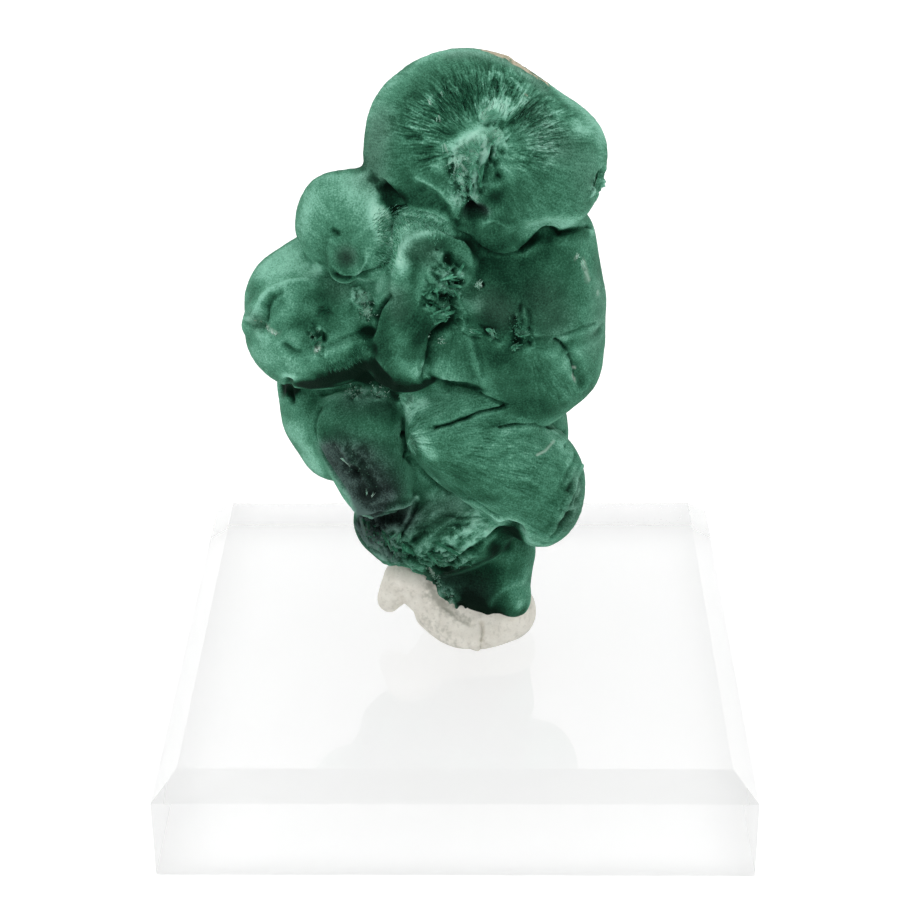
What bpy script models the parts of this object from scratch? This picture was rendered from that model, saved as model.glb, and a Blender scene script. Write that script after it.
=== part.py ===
"""A malachite specimen, a botryoidal cluster of fused lobes, stood in putty on a clear acrylic block.

Blender units are metres, +Z up. The origin is the middle of the block's underside, and the specimen's
show side faces -Y. The tables of shapes below are in millimetres, and are scaled as they are built.
"""

import bmesh
import bpy
import numpy as np
from mathutils import Matrix, Vector, noise
from mathutils.bvhtree import BVHTree

MM = 0.001

# The display block: a clear square slab, chamfered round its top face.
BLOCK_SIDE = 50.8
BLOCK_HEIGHT = 9.525
BLOCK_CHAMFER = 2.1

# Space left between two pieces that touch.
GAP = 0.3

# How finely a ball is drawn before the skin goes round it, as subdivisions of an icosahedron.
BALL_DETAIL = 4

# Grain of the meshes that melt the lobes together, and how many triangles each piece keeps.
STONE_GRAIN = 0.5
PUTTY_GRAIN = 0.4
STONE_TRIANGLES = 7800
PUTTY_TRIANGLES = 1100

# Each lobe of the malachite is the skin drawn tight round a few balls: a centre, and radii along X, Y, Z.
LOBES = {
    "crown": [
        ((1.0, 0.0, 55.7), (8.6, 8.2, 8.5)),
        ((-2.6, -0.4, 56.8), (4.8, 5.5, 6.0)),
        ((8.0, 0.4, 55.1), (4.9, 5.6, 4.8)),
        ((7.8, -0.8, 53.1), (4.4, 5.2, 4.0)),
    ],
    "crown_skirt": [
        ((-2.6, -1.2, 52.2), (3.2, 4.4, 3.0)),
        ((3.6, -2.0, 50.4), (4.0, 4.6, 3.6)),
    ],
    "ear": [
        ((-9.7, -2.6, 50.5), (3.6, 4.4, 4.1)),
        ((-7.0, -2.8, 50.6), (2.8, 4.0, 3.6)),
        ((-7.2, -3.2, 48.9), (2.6, 4.0, 3.2)),
    ],
    "nipple": [
        ((-9.2, -6.4, 49.7), (1.2, 1.4, 1.4)),
        ((-8.9, -7.0, 48.3), (1.5, 1.7, 1.6)),
    ],
    "left": [
        ((-12.5, -1.2, 42.4), (5.6, 5.6, 5.2)),
        ((-12.1, -1.2, 39.8), (6.1, 5.8, 5.0)),
        ((-9.6, -2.4, 40.0), (3.8, 4.6, 3.6)),
        ((-11.2, -0.4, 44.6), (4.4, 5.0, 3.8)),
        ((-8.0, -3.2, 42.8), (3.4, 3.6, 4.2)),
    ],
    "middle": [
        ((-1.4, -4.2, 46.2), (4.0, 4.8, 5.2)),
        ((-2.6, -4.6, 49.2), (3.0, 3.6, 3.4)),
        ((-3.0, -4.0, 40.6), (4.0, 4.8, 4.6)),
    ],
    "flank": [
        ((6.6, -2.2, 42.4), (6.4, 6.0, 6.6)),
        ((8.3, -0.5, 47.6), (3.8, 5.0, 4.0)),
        ((7.6, -1.2, 37.4), (5.3, 5.6, 5.1)),
        ((6.5, -1.2, 35.4), (4.3, 5.2, 4.5)),
        ((3.0, -3.2, 43.6), (3.6, 4.6, 5.4)),
        ((3.4, -3.0, 38.6), (3.2, 4.8, 4.2)),
    ],
    "fan": [
        ((-0.3, -5.8, 39.4), (2.3, 2.8, 2.6)),
        ((0.8, -5.6, 42.4), (1.2, 2.2, 1.6)),
        ((2.2, -5.2, 38.8), (2.2, 2.8, 2.8)),
    ],
    "right_foot": [
        ((-0.8, -3.4, 31.8), (3.7, 4.4, 4.4)),
        ((3.0, -3.2, 31.0), (3.8, 4.6, 4.0)),
        ((3.8, -3.0, 28.4), (5.3, 5.2, 4.6)),
        ((7.5, -2.4, 25.1), (4.0, 4.6, 5.6)),
    ],
    "left_back": [
        ((-11.5, 1.2, 31.0), (4.1, 4.6, 4.2)),
        ((-10.5, 1.2, 28.2), (3.9, 4.2, 3.5)),
    ],
    "left_front": [
        ((-8.2, -2.6, 31.6), (4.0, 4.2, 3.8)),
        ((-7.0, -2.6, 26.6), (3.6, 4.0, 4.0)),
    ],
    "bottom": [
        ((-4.3, -0.8, 21.0), (5.0, 4.8, 4.1)),
        ((1.2, -1.6, 21.2), (4.2, 4.6, 3.8)),
        ((-1.4, -1.0, 18.4), (4.2, 4.0, 2.6)),
    ],
    "foot": [
        ((3.0, -0.6, 14.6), (3.8, 3.6, 4.4)),
        ((4.4, -0.6, 17.6), (2.8, 3.2, 3.2)),
        ((-0.2, -0.4, 15.0), (3.2, 3.2, 3.0)),
    ],
    "foot_knob": [((4.9, -2.2, 14.0), (1.9, 2.2, 2.7))],
    "core": [
        ((0.0, 1.0, 50.0), (7.0, 6.0, 7.0)),
        ((-2.0, 1.0, 36.0), (9.0, 6.5, 7.0)),
        ((1.0, 0.5, 24.0), (6.0, 4.5, 5.0)),
    ],
    "back_crown": [((2.0, 3.2, 54.8), (7.4, 5.6, 7.2))],
    "back_shoulder": [
        ((-5.0, 2.6, 50.0), (4.4, 4.6, 4.0)),
        ((-2.2, 4.6, 47.6), (4.2, 4.2, 4.0)),
    ],
    "back_left": [
        ((-9.8, 3.0, 43.2), (5.2, 4.8, 5.2)),
        ((-6.4, 4.4, 40.2), (5.0, 4.8, 5.0)),
    ],
    "back_middle": [((-0.2, 4.6, 42.0), (4.8, 4.6, 6.2))],
    "back_right": [
        ((6.6, 3.2, 45.4), (5.4, 5.2, 5.2)),
        ((5.6, 4.2, 40.2), (5.8, 5.2, 5.6)),
    ],
    "back_low_left": [
        ((-7.2, 3.4, 32.4), (5.0, 4.4, 4.6)),
        ((-4.0, 3.8, 29.2), (4.8, 4.2, 4.6)),
    ],
    "back_low_right": [
        ((4.0, 3.6, 34.0), (5.0, 4.8, 4.4)),
        ((5.2, 2.8, 27.8), (5.0, 4.6, 5.6)),
    ],
    "back_foot": [
        ((-2.0, 1.8, 22.4), (4.6, 3.8, 4.2)),
        ((1.8, 1.6, 20.0), (4.4, 3.6, 4.8)),
    ],
}

# Small round lumps that stand out of the back, each a centre and a radius.
BACK_LUMPS = [
    ((-2.4, 5.6, 57.6), 3.4),
    ((6.4, 5.0, 52.0), 3.6),
    ((0.8, 6.4, 50.6), 2.8),
    ((-12.0, 4.4, 38.6), 3.4),
    ((10.0, 5.0, 37.6), 3.0),
    ((-8.4, 6.6, 44.6), 2.6),
    ((1.4, 6.0, 30.4), 2.8),
    ((-7.8, 4.4, 27.0), 2.8),
    ((3.8, 4.6, 22.6), 2.6),
]

# Relief on the lobes. Each stroke raises the stone by its height, or sinks it where that is negative, out
# to its reach on both sides of a path of points near the surface. A path of one point is a boss or a pit.
RELIEF = [
    # The crown folds in to a rough navel. A gully runs down from it to a hole, with a torn rim beside it.
    (-1.0, 4.4, [(2.6, -7.6, 58.4)]),
    (-0.9, 2.0, [(2.2, -7.8, 57.6), (1.8, -8.0, 55.4), (1.8, -7.8, 53.4)]),
    (-1.3, 1.4, [(1.8, -7.8, 53.4)]),
    (0.7, 1.1, [(0.2, -7.4, 59.0), (2.4, -7.4, 59.3), (2.0, -8.0, 57.6), (1.2, -8.0, 56.4)]),
    (0.5, 1.2, [(-2.6, -7.4, 56.1), (-0.9, -7.9, 55.0), (0.0, -7.9, 53.9), (0.8, -7.2, 51.7)]),
    (-0.5, 1.3, [(12.4, -2.3, 53.9)]),
    (-0.6, 1.6, [(8.2, -6.2, 50.2), (6.4, -6.6, 50.4)]),
    # The left lobe: a lip curling over a groove, a dished middle, and a tongue below it.
    (
        0.7,
        1.3,
        [(-17.8, -3.0, 41.0), (-16.5, -4.8, 43.8), (-15.2, -5.1, 45.2), (-12.0, -5.3, 46.0)],
    ),
    (-0.6, 1.1, [(-16.2, -5.4, 42.2), (-15.6, -5.4, 43.6), (-14.6, -5.6, 44.5)]),
    (-0.8, 3.0, [(-11.0, -6.6, 43.7)]),
    (-0.6, 1.2, [(-13.6, -6.8, 40.9), (-11.2, -6.9, 41.4), (-9.1, -6.9, 42.2), (-7.4, -6.7, 42.6)]),
    (0.6, 1.7, [(-12.9, -6.9, 39.6), (-11.2, -6.9, 39.8), (-9.1, -6.9, 40.2), (-7.5, -6.6, 40.8)]),
    # The middle lobe: a collar arched over a dome, a pit of broken crystal, and a channel down to the fans.
    (
        0.6,
        1.2,
        [(-4.4, -7.6, 46.8), (-4.1, -7.5, 48.7), (-3.0, -6.9, 50.3), (-0.6, -6.6, 50.8), (1.6, -6.6, 48.4)],
    ),
    (-0.5, 1.0, [(-3.3, -7.8, 47.4), (-2.7, -7.6, 49.0), (-1.3, -7.4, 49.6), (0.2, -7.6, 49.2)]),
    (0.5, 2.2, [(-1.9, -8.6, 47.4)]),
    (-1.1, 1.2, [(0.4, -7.9, 48.4)]),
    (-1.3, 2.2, [(0.3, -8.6, 45.6)]),
    (-1.0, 1.1, [(1.4, -7.6, 46.3), (0.6, -8.2, 44.6), (-0.4, -8.5, 43.4), (-1.3, -8.6, 42.4)]),
    (-0.7, 0.9, [(-1.3, -8.6, 42.4), (-2.1, -8.6, 40.0), (-2.3, -8.4, 38.6)]),
    (0.4, 2.6, [(-3.9, -8.3, 42.8)]),
    # The flank: a torn rosette, and two cracks round the fibrous fan below it.
    (-0.6, 1.2, [(5.9, -7.8, 41.9)]),
    (-0.5, 0.9, [(5.9, -7.8, 41.9), (8.6, -7.4, 41.4), (12.3, -4.4, 41.2)]),
    (-0.6, 0.9, [(8.6, -7.4, 41.4), (9.5, -6.9, 40.4), (10.2, -6.3, 38.7), (11.0, -5.4, 36.6)]),
    (0.4, 1.2, [(2.4, -8.0, 39.6), (2.6, -7.7, 37.2), (4.0, -6.2, 34.9)]),
    # The right foot: a crack down from the flank, and a swollen edge along its left end.
    (-0.8, 1.0, [(-1.8, -7.2, 33.3), (1.1, -7.0, 33.7), (4.2, -6.6, 34.7)]),
    (0.4, 1.4, [(-4.0, -5.4, 35.0), (-3.9, -6.0, 31.4)]),
    (-0.5, 1.4, [(10.6, -4.2, 26.8), (9.8, -5.6, 23.6)]),
    # The bottom: two seams, a cave beside the foot and a hole behind the left lobe.
    (0.5, 0.9, [(-8.6, -5.6, 24.7), (-5.2, -5.8, 24.4), (-3.4, -4.9, 24.9)]),
    (0.4, 0.8, [(-2.3, -4.8, 25.0), (-3.9, -5.4, 22.4), (-4.9, -5.5, 21.5)]),
    (-1.0, 1.6, [(5.2, -5.6, 22.0), (3.8, -5.3, 20.8)]),
    (-0.9, 1.5, [(-14.4, -0.4, 34.3)]),
    # The back: a scar where the cluster was broken from its bed, stepped by ledges, and two clefts.
    (-1.3, 5.2, [(-1.4, 9.4, 43.6), (1.6, 9.4, 38.6)]),
    (0.6, 1.3, [(-5.6, 9.2, 43.8), (-2.0, 9.4, 40.4), (-1.4, 9.0, 36.6)]),
    (0.6, 1.2, [(1.4, 9.2, 46.0), (2.8, 9.2, 42.0), (6.0, 9.2, 40.6)]),
    (-0.8, 1.2, [(-9.8, 8.0, 41.4), (-6.6, 9.0, 44.0), (-3.4, 8.8, 45.0)]),
    (-0.8, 1.2, [(-0.6, 8.0, 32.6), (2.4, 7.8, 29.0), (3.6, 6.8, 25.6)]),
]

# Broken, lumpy ground: the middle of each patch, its reach, the height of its lumps and their breadth.
ROUGH_PATCHES = [
    ((2.0, -7.8, 56.4), 3.4, 0.5, 1.1),
    ((0.4, -8.2, 45.8), 2.4, 0.6, 1.0),
    ((-3.4, -3.2, 18.8), 4.6, 0.6, 1.3),
    ((-7.4, -4.6, 26.0), 3.0, 0.4, 1.5),
    ((5.6, 0.8, 63.4), 3.6, 0.4, 1.4),
    ((-0.6, 9.0, 41.4), 6.8, 0.9, 1.8),
    ((1.0, 6.0, 24.0), 5.0, 0.6, 1.6),
]

# The putty: a bowl pressed round the foot, and a knob squeezed out below the specimen's left side.
PUTTY_LUMPS = {
    "bowl": [
        ((-0.8, -1.6, 11.8), (2.9, 3.0, 2.4)),
        ((1.6, -2.0, 11.0), (4.4, 3.8, 2.1)),
        ((4.8, -1.2, 11.7), (2.5, 3.0, 2.8)),
        ((2.0, 2.0, 11.2), (4.6, 3.4, 2.6)),
    ],
    "knob": [
        ((-6.1, -1.2, 13.7), (1.4, 1.5, 1.7)),
        ((-4.6, -1.4, 15.2), (2.2, 2.0, 2.2)),
        ((-2.6, -1.0, 12.6), (2.6, 2.6, 2.6)),
    ],
}

# The parts of the stone that the putty is pressed round, and how much wider than them its hollow is.
EMBEDDED = ["foot", "foot_knob", "bottom"]
HOLLOW_MARGIN = 0.6


def clear_scene():
    for obj in list(bpy.data.objects):
        bpy.data.objects.remove(obj)


def material(name, colour, roughness, transmission=0.0, ior=1.5):
    made = bpy.data.materials.new(name)
    made.use_nodes = True
    shader = made.node_tree.nodes["Principled BSDF"]
    shader.inputs["Base Color"].default_value = (*colour, 1.0)
    shader.inputs["Roughness"].default_value = roughness
    shader.inputs["Transmission Weight"].default_value = transmission
    shader.inputs["IOR"].default_value = ior
    return made


def add_object(name, mesh):
    obj = bpy.data.objects.new(name, mesh)
    bpy.context.scene.collection.objects.link(obj)
    return obj


def mesh_from(shape, name):
    """Turns a bmesh into a mesh, and frees it."""
    mesh = bpy.data.meshes.new(name)
    shape.to_mesh(mesh)
    shape.free()
    return mesh


def evaluated_mesh(obj):
    """The mesh that an object's modifiers make. The object itself is removed."""
    graph = bpy.context.evaluated_depsgraph_get()
    mesh = bpy.data.meshes.new_from_object(obj.evaluated_get(graph))
    bpy.data.objects.remove(obj)
    return mesh


def add_skin(shape, balls):
    """Adds the convex skin round some balls to a bmesh, as one closed shell."""
    skin = bmesh.new()
    for centre, radii in balls:
        place = Matrix.Translation(Vector(centre) * MM)
        size = Matrix.Diagonal((*(Vector(radii) * MM), 1.0))
        bmesh.ops.create_icosphere(skin, subdivisions=BALL_DETAIL, radius=1.0, matrix=place @ size)
    if len(balls) > 1:
        hull = bmesh.ops.convex_hull(skin, input=skin.verts)
        kept = {part for part in hull["geom"] if isinstance(part, bmesh.types.BMFace)}
        inner = [face for face in skin.faces if face not in kept]
        bmesh.ops.delete(skin, geom=inner, context="FACES")
        loose = [vert for vert in skin.verts if not vert.link_faces]
        bmesh.ops.delete(skin, geom=loose, context="VERTS")
    bmesh.ops.recalc_face_normals(skin, faces=skin.faces)
    mesh = mesh_from(skin, "skin")
    shape.from_mesh(mesh)
    bpy.data.meshes.remove(mesh)


def melted(groups, grain):
    """One closed mesh from overlapping lobes, each a list of balls."""
    shape = bmesh.new()
    for balls in groups:
        add_skin(shape, balls)
    obj = add_object("melt", mesh_from(shape, "melt"))
    modifier = obj.modifiers.new("melt", "REMESH")
    modifier.mode = "VOXEL"
    modifier.voxel_size = grain * MM
    return evaluated_mesh(obj)


def points_of(mesh):
    points = np.empty(len(mesh.vertices) * 3, dtype=np.float32)
    mesh.vertices.foreach_get("co", points)
    return points.reshape(-1, 3)


def normals_of(mesh):
    normals = np.empty(len(mesh.vertices) * 3, dtype=np.float32)
    mesh.vertex_normals.foreach_get("vector", normals)
    return normals.reshape(-1, 3)


def distance_to_path(points, path):
    """How far each point is from a path, in metres."""
    nearest = np.linalg.norm(points - path[0], axis=1)
    for start, end in zip(path, path[1:]):
        along = end - start
        share = np.clip((points - start) @ along / (along @ along), 0.0, 1.0)
        foot = start + share[:, None] * along
        nearest = np.minimum(nearest, np.linalg.norm(points - foot, axis=1))
    return nearest


def falloff(distance, reach):
    """1 in the middle, easing down to 0 at the reach."""
    inside = np.clip(1.0 - (distance / reach) ** 2, 0.0, 1.0)
    return inside**2


def carve(mesh):
    """Works the relief and the broken ground into the stone."""
    points, normals = points_of(mesh), normals_of(mesh)
    surface = BVHTree.FromPolygons(points.tolist(), [tuple(face.vertices) for face in mesh.polygons])
    lift = np.zeros(len(points))
    for height, reach, stroke in RELIEF:
        path = [np.array(surface.find_nearest(Vector(point) * MM)[0]) for point in stroke]
        lift += height * MM * falloff(distance_to_path(points, path), reach * MM)
    for centre, reach, height, breadth in ROUGH_PATCHES:
        middle = np.array(surface.find_nearest(Vector(centre) * MM)[0])
        weight = falloff(distance_to_path(points, [middle]), reach * MM)
        for index in np.flatnonzero(weight):
            lift[index] += height * MM * weight[index] * noise.noise(Vector(points[index]) / (breadth * MM))
    mesh.vertices.foreach_set("co", (points + normals * lift[:, None]).astype(np.float32).ravel())


def thin_out(obj, triangles):
    """Thins an object's mesh to about the given number of triangles."""
    now = sum(len(face.vertices) - 2 for face in obj.data.polygons)
    modifier = obj.modifiers.new("thin", "DECIMATE")
    modifier.ratio = triangles / now
    modifier.use_collapse_triangulate = True


def build_malachite():
    lumps = [[(centre, (radius,) * 3)] for centre, radius in BACK_LUMPS]
    mesh = melted(list(LOBES.values()) + lumps, STONE_GRAIN)
    carve(mesh)
    obj = add_object("melt", mesh)
    thin_out(obj, STONE_TRIANGLES)
    mesh = evaluated_mesh(obj)
    mesh.materials.append(material("malachite", (0.03, 0.2, 0.11), 0.7))
    mesh.shade_smooth()
    return add_object("malachite", mesh)


def flatten_underside(mesh, height):
    """Cuts a mesh off at a height, and closes the cut with a flat face."""
    shape = bmesh.new()
    shape.from_mesh(mesh)
    everything = list(shape.verts) + list(shape.edges) + list(shape.faces)
    cut = bmesh.ops.bisect_plane(
        shape, geom=everything, plane_co=(0, 0, height), plane_no=(0, 0, 1), clear_inner=True
    )
    rim = [part for part in cut["geom_cut"] if isinstance(part, bmesh.types.BMEdge)]
    bmesh.ops.contextual_create(shape, geom=rim)
    bmesh.ops.recalc_face_normals(shape, faces=shape.faces)
    shape.to_mesh(mesh)
    shape.free()


def grown(balls, margin):
    """The same balls, each wider all round."""
    return [(centre, [radius + margin for radius in radii]) for centre, radii in balls]


def build_putty():
    hollow = [grown(LOBES[name], HOLLOW_MARGIN) for name in EMBEDDED]
    cutter = add_object("foot_hollow", melted(hollow, PUTTY_GRAIN))
    thin_out(cutter, PUTTY_TRIANGLES)
    cutter.hide_render = True
    cutter.display_type = "WIRE"

    lump = add_object("lump", melted(PUTTY_LUMPS.values(), PUTTY_GRAIN))
    thin_out(lump, PUTTY_TRIANGLES)
    mesh = evaluated_mesh(lump)
    flatten_underside(mesh, (BLOCK_HEIGHT + GAP) * MM)
    mesh.materials.append(material("putty", (0.75, 0.73, 0.69), 0.6))
    mesh.shade_smooth()
    obj = add_object("mounting_putty", mesh)
    press = obj.modifiers.new("press", "BOOLEAN")
    press.operation = "DIFFERENCE"
    press.solver = "EXACT"
    press.object = cutter
    return obj


def build_block():
    shape = bmesh.new()
    bmesh.ops.create_cube(shape, size=1.0)
    bmesh.ops.scale(shape, vec=Vector((BLOCK_SIDE, BLOCK_SIDE, BLOCK_HEIGHT)) * MM, verts=shape.verts)
    bmesh.ops.translate(shape, vec=(0, 0, BLOCK_HEIGHT * MM / 2), verts=shape.verts)
    rim = [edge for edge in shape.edges if all(vert.co.z > BLOCK_HEIGHT * MM / 2 for vert in edge.verts)]
    bmesh.ops.bevel(shape, geom=rim, offset=BLOCK_CHAMFER * MM, segments=1, affect="EDGES")
    mesh = mesh_from(shape, "acrylic_block")
    mesh.materials.append(material("clear_acrylic", (1, 1, 1), 0.02, transmission=1.0, ior=1.49))
    return add_object("acrylic_block", mesh)


clear_scene()
build_malachite()
build_putty()
build_block()
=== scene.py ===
"""Looks of the malachite specimen: the stone, the putty that holds it, the clear block, light and camera.

Blender units are metres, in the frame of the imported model. The tables are in millimetres. A place in them
is either a point near the surface, (x, y, z), or a pixel of the 900 x 900 photograph, (x, y), which stands
for the point of the surface that the camera sees there.
"""

import math

import bmesh
import bpy
import numpy as np
from mathutils import Matrix, Vector
from mathutils.bvhtree import BVHTree


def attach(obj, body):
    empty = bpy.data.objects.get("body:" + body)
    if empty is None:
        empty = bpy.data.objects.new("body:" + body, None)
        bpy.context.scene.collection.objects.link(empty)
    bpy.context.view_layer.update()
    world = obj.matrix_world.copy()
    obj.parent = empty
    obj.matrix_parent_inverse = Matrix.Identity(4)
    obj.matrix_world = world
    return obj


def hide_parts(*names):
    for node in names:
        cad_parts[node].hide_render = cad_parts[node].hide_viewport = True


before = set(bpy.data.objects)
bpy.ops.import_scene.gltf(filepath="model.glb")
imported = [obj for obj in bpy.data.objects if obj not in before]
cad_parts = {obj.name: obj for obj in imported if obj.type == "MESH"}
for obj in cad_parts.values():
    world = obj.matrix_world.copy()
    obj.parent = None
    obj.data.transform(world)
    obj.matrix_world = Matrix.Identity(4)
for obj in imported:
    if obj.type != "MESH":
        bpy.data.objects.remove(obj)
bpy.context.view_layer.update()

MM = 0.001
IMAGE = 900

# The camera stands where the photograph's did, worked out from the block's corners.
FOCAL = 2210.1
PITCH = math.radians(27.164)
YAW = math.radians(-1.107)
ROLL = math.radians(-0.569)
CAMERA_PLACE = Vector((2.852, -175.75, 117.77)) * MM
SENSOR = 36.0

# The specimen was photographed a little below the block's front edge, at about this depth.
USUAL_DEPTH = -4.0

# Driving sizes, as in the solids.
BLOCK_HEIGHT = 9.525
BALL_DETAIL = 5
STONE_GRAIN = 0.17
STONE_TRIANGLES = 190_000
PUTTY_GRAIN = 0.13
PUTTY_TRIANGLES = 60_000

# How far the creases between lobes are eased, how much of the coarse relief is kept beside the finer one, and
# over how many millimetres the fibres of two lobes blend where they meet.
CREASE_SMOOTHING = 10
COARSE_RELIEF = 0.6
LOBE_BLEND = 0.18

# Heights of the stone's own texture: ribs along the fibres, gentle lumps, and the grit of broken crystal.
RIB_HEIGHT = 0.05
LUMP_HEIGHT = 0.06
GRIT_HEIGHT = 0.22

# Facets of shattered ground are this much longer along their path than across it.
FACET_STRETCH = 2.6

# The tone that a surface without strokes has, and the tone at which its green is palest.
MIDDLE_TONE = 0.56
PALEST_TONE = 1.4

# A blade of crystal is swept through rings of four corners: left, top, right, underside.
BLADE_RINGS = 6
BLADE_THICKNESS = 0.16

# The putty keeps this far off the block, so that the two surfaces don't coincide.
PUTTY_CLEARANCE = 0.01

# Polished acrylic has eased edges. They, and less so the chamfers, are tinted grey: painted shade for the
# dark lines that reflection and refraction draw along a clear block's edges.
EDGE_EASING = 0.25
EDGE_PAINTED_SHADE = 0.9
CHAMFER_PAINTED_SHADE = 0.3

FLOOR_SIDE = 4.0
FLOOR_RISE = 0.00003
FLOOR_GLOW = 0.38
WORLD_LIGHT = 1.0
OVERHEAD_POWER = 2.4

# Each lobe of the malachite is the skin drawn tight round a few balls: a centre, and radii along X, Y, Z.
LOBES = {
    "crown": [
        ((1.0, 0.0, 55.7), (8.6, 8.2, 8.5)),
        ((-2.6, -0.4, 56.8), (4.8, 5.5, 6.0)),
        ((8.0, 0.4, 55.1), (4.9, 5.6, 4.8)),
        ((7.8, -0.8, 53.1), (4.4, 5.2, 4.0)),
    ],
    "crown_skirt": [
        ((-2.6, -1.2, 52.2), (3.2, 4.4, 3.0)),
        ((3.6, -2.0, 50.4), (4.0, 4.6, 3.6)),
    ],
    "ear": [
        ((-9.7, -2.6, 50.5), (3.6, 4.4, 4.1)),
        ((-7.0, -2.8, 50.6), (2.8, 4.0, 3.6)),
        ((-7.2, -3.2, 48.9), (2.6, 4.0, 3.2)),
        ((-6.6, -2.4, 52.4), (2.4, 3.4, 2.6)),
    ],
    "nipple": [
        ((-9.2, -6.4, 49.7), (1.2, 1.4, 1.4)),
        ((-8.9, -7.0, 48.3), (1.5, 1.7, 1.6)),
    ],
    "left": [
        ((-12.5, -1.2, 42.4), (5.6, 5.6, 5.2)),
        ((-12.1, -1.2, 39.8), (6.1, 5.8, 5.0)),
        ((-9.6, -2.4, 40.0), (3.8, 4.6, 3.6)),
        ((-11.2, -0.4, 44.6), (4.4, 5.0, 3.8)),
        ((-8.0, -3.2, 42.8), (3.4, 3.6, 4.2)),
    ],
    "middle": [
        ((-1.4, -4.2, 46.2), (4.0, 4.8, 5.2)),
        ((-2.6, -4.6, 49.2), (3.0, 3.6, 3.4)),
        ((-4.2, -4.0, 40.3), (3.9, 4.8, 4.6)),
    ],
    "flank": [
        ((6.6, -2.2, 42.4), (6.4, 6.0, 6.6)),
        ((8.3, -0.5, 47.6), (3.8, 5.0, 4.0)),
        ((7.6, -1.2, 37.4), (5.3, 5.6, 5.1)),
        ((6.5, -1.2, 35.4), (4.3, 5.2, 4.5)),
        ((3.0, -3.2, 43.6), (3.6, 4.6, 5.4)),
        ((3.4, -3.0, 39.0), (3.2, 4.8, 3.9)),
    ],
    "fan": [
        ((-0.3, -5.8, 39.8), (2.3, 2.8, 2.3)),
        ((0.8, -5.6, 42.4), (1.2, 2.2, 1.6)),
        ((2.2, -5.2, 39.4), (2.2, 2.8, 2.5)),
    ],
    "right_foot": [
        ((-0.8, -3.4, 31.8), (3.7, 4.4, 4.4)),
        ((3.0, -3.2, 31.0), (3.8, 4.6, 4.0)),
        ((3.8, -3.0, 28.4), (5.3, 5.2, 4.6)),
        ((7.5, -2.4, 25.1), (4.0, 4.6, 5.6)),
    ],
    "right_foot_top": [
        ((-1.6, -3.0, 34.2), (2.6, 3.5, 2.4)),
        ((3.0, -3.2, 34.9), (2.8, 3.8, 2.3)),
        ((5.6, -2.6, 33.4), (2.6, 3.6, 2.4)),
    ],
    "left_back": [
        ((-11.4, 0.6, 31.0), (4.1, 4.6, 4.2)),
        ((-10.3, 0.6, 28.2), (3.9, 4.2, 3.5)),
        ((-13.9, 0.6, 34.2), (1.9, 2.8, 2.4)),
    ],
    "left_front": [
        ((-8.6, -2.2, 31.2), (4.4, 3.9, 4.0)),
        ((-6.6, -2.8, 32.6), (2.4, 3.8, 3.2)),
        ((-7.0, -2.6, 26.6), (3.6, 4.0, 4.0)),
    ],
    "bottom": [
        ((-4.3, -0.8, 21.0), (5.0, 4.8, 4.1)),
        ((1.2, -1.6, 21.2), (4.2, 4.6, 3.8)),
        ((-1.4, -1.0, 18.4), (4.2, 4.0, 2.6)),
    ],
    "foot": [
        ((3.0, -0.6, 14.6), (3.8, 3.6, 4.4)),
        ((4.4, -0.6, 17.6), (2.8, 3.2, 3.2)),
        ((-0.2, -0.4, 15.0), (3.2, 3.2, 3.0)),
    ],
    "foot_knob": [((4.9, -2.2, 14.0), (1.9, 2.2, 2.7))],
    "core": [
        ((0.0, 1.0, 50.0), (7.0, 6.0, 7.0)),
        ((-2.0, 1.0, 36.0), (9.0, 6.5, 7.0)),
        ((1.0, 0.5, 24.0), (6.0, 4.5, 5.0)),
    ],
    "back_crown": [((2.0, 3.2, 54.8), (7.4, 5.6, 7.2))],
    "back_shoulder": [
        ((-5.0, 2.6, 50.0), (4.4, 4.6, 4.0)),
        ((-2.2, 4.6, 47.6), (4.2, 4.2, 4.0)),
    ],
    "back_left": [
        ((-9.8, 3.0, 43.2), (5.2, 4.8, 5.2)),
        ((-6.4, 4.4, 40.2), (5.0, 4.8, 5.0)),
    ],
    "back_middle": [((-0.2, 4.6, 42.0), (4.8, 4.6, 6.2))],
    "back_right": [
        ((6.6, 3.2, 45.4), (5.4, 5.2, 5.2)),
        ((5.6, 4.2, 40.2), (5.8, 5.2, 5.6)),
    ],
    "back_low_left": [
        ((-7.2, 3.4, 32.4), (5.0, 4.4, 4.6)),
        ((-4.0, 3.8, 29.2), (4.8, 4.2, 4.6)),
    ],
    "back_low_right": [
        ((4.0, 3.6, 34.0), (5.0, 4.8, 4.4)),
        ((5.2, 2.8, 27.8), (5.0, 4.6, 5.6)),
    ],
    "back_foot": [
        ((-2.0, 1.8, 22.4), (4.6, 3.8, 4.2)),
        ((1.8, 1.6, 20.0), (4.4, 3.6, 4.8)),
    ],
}

# Small round lumps that stand out of the back, each a centre and a radius.
BACK_LUMPS = [
    ((-2.4, 5.6, 57.6), 3.4),
    ((6.4, 5.0, 52.0), 3.6),
    ((0.8, 6.4, 50.6), 2.8),
    ((-12.0, 4.4, 38.6), 3.4),
    ((10.0, 5.0, 37.6), 3.0),
    ((-8.4, 6.6, 44.6), 2.6),
    ((1.4, 6.0, 30.4), 2.8),
    ((-7.8, 4.4, 27.0), 2.8),
    ((3.8, 4.6, 22.6), 2.6),
]

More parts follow.
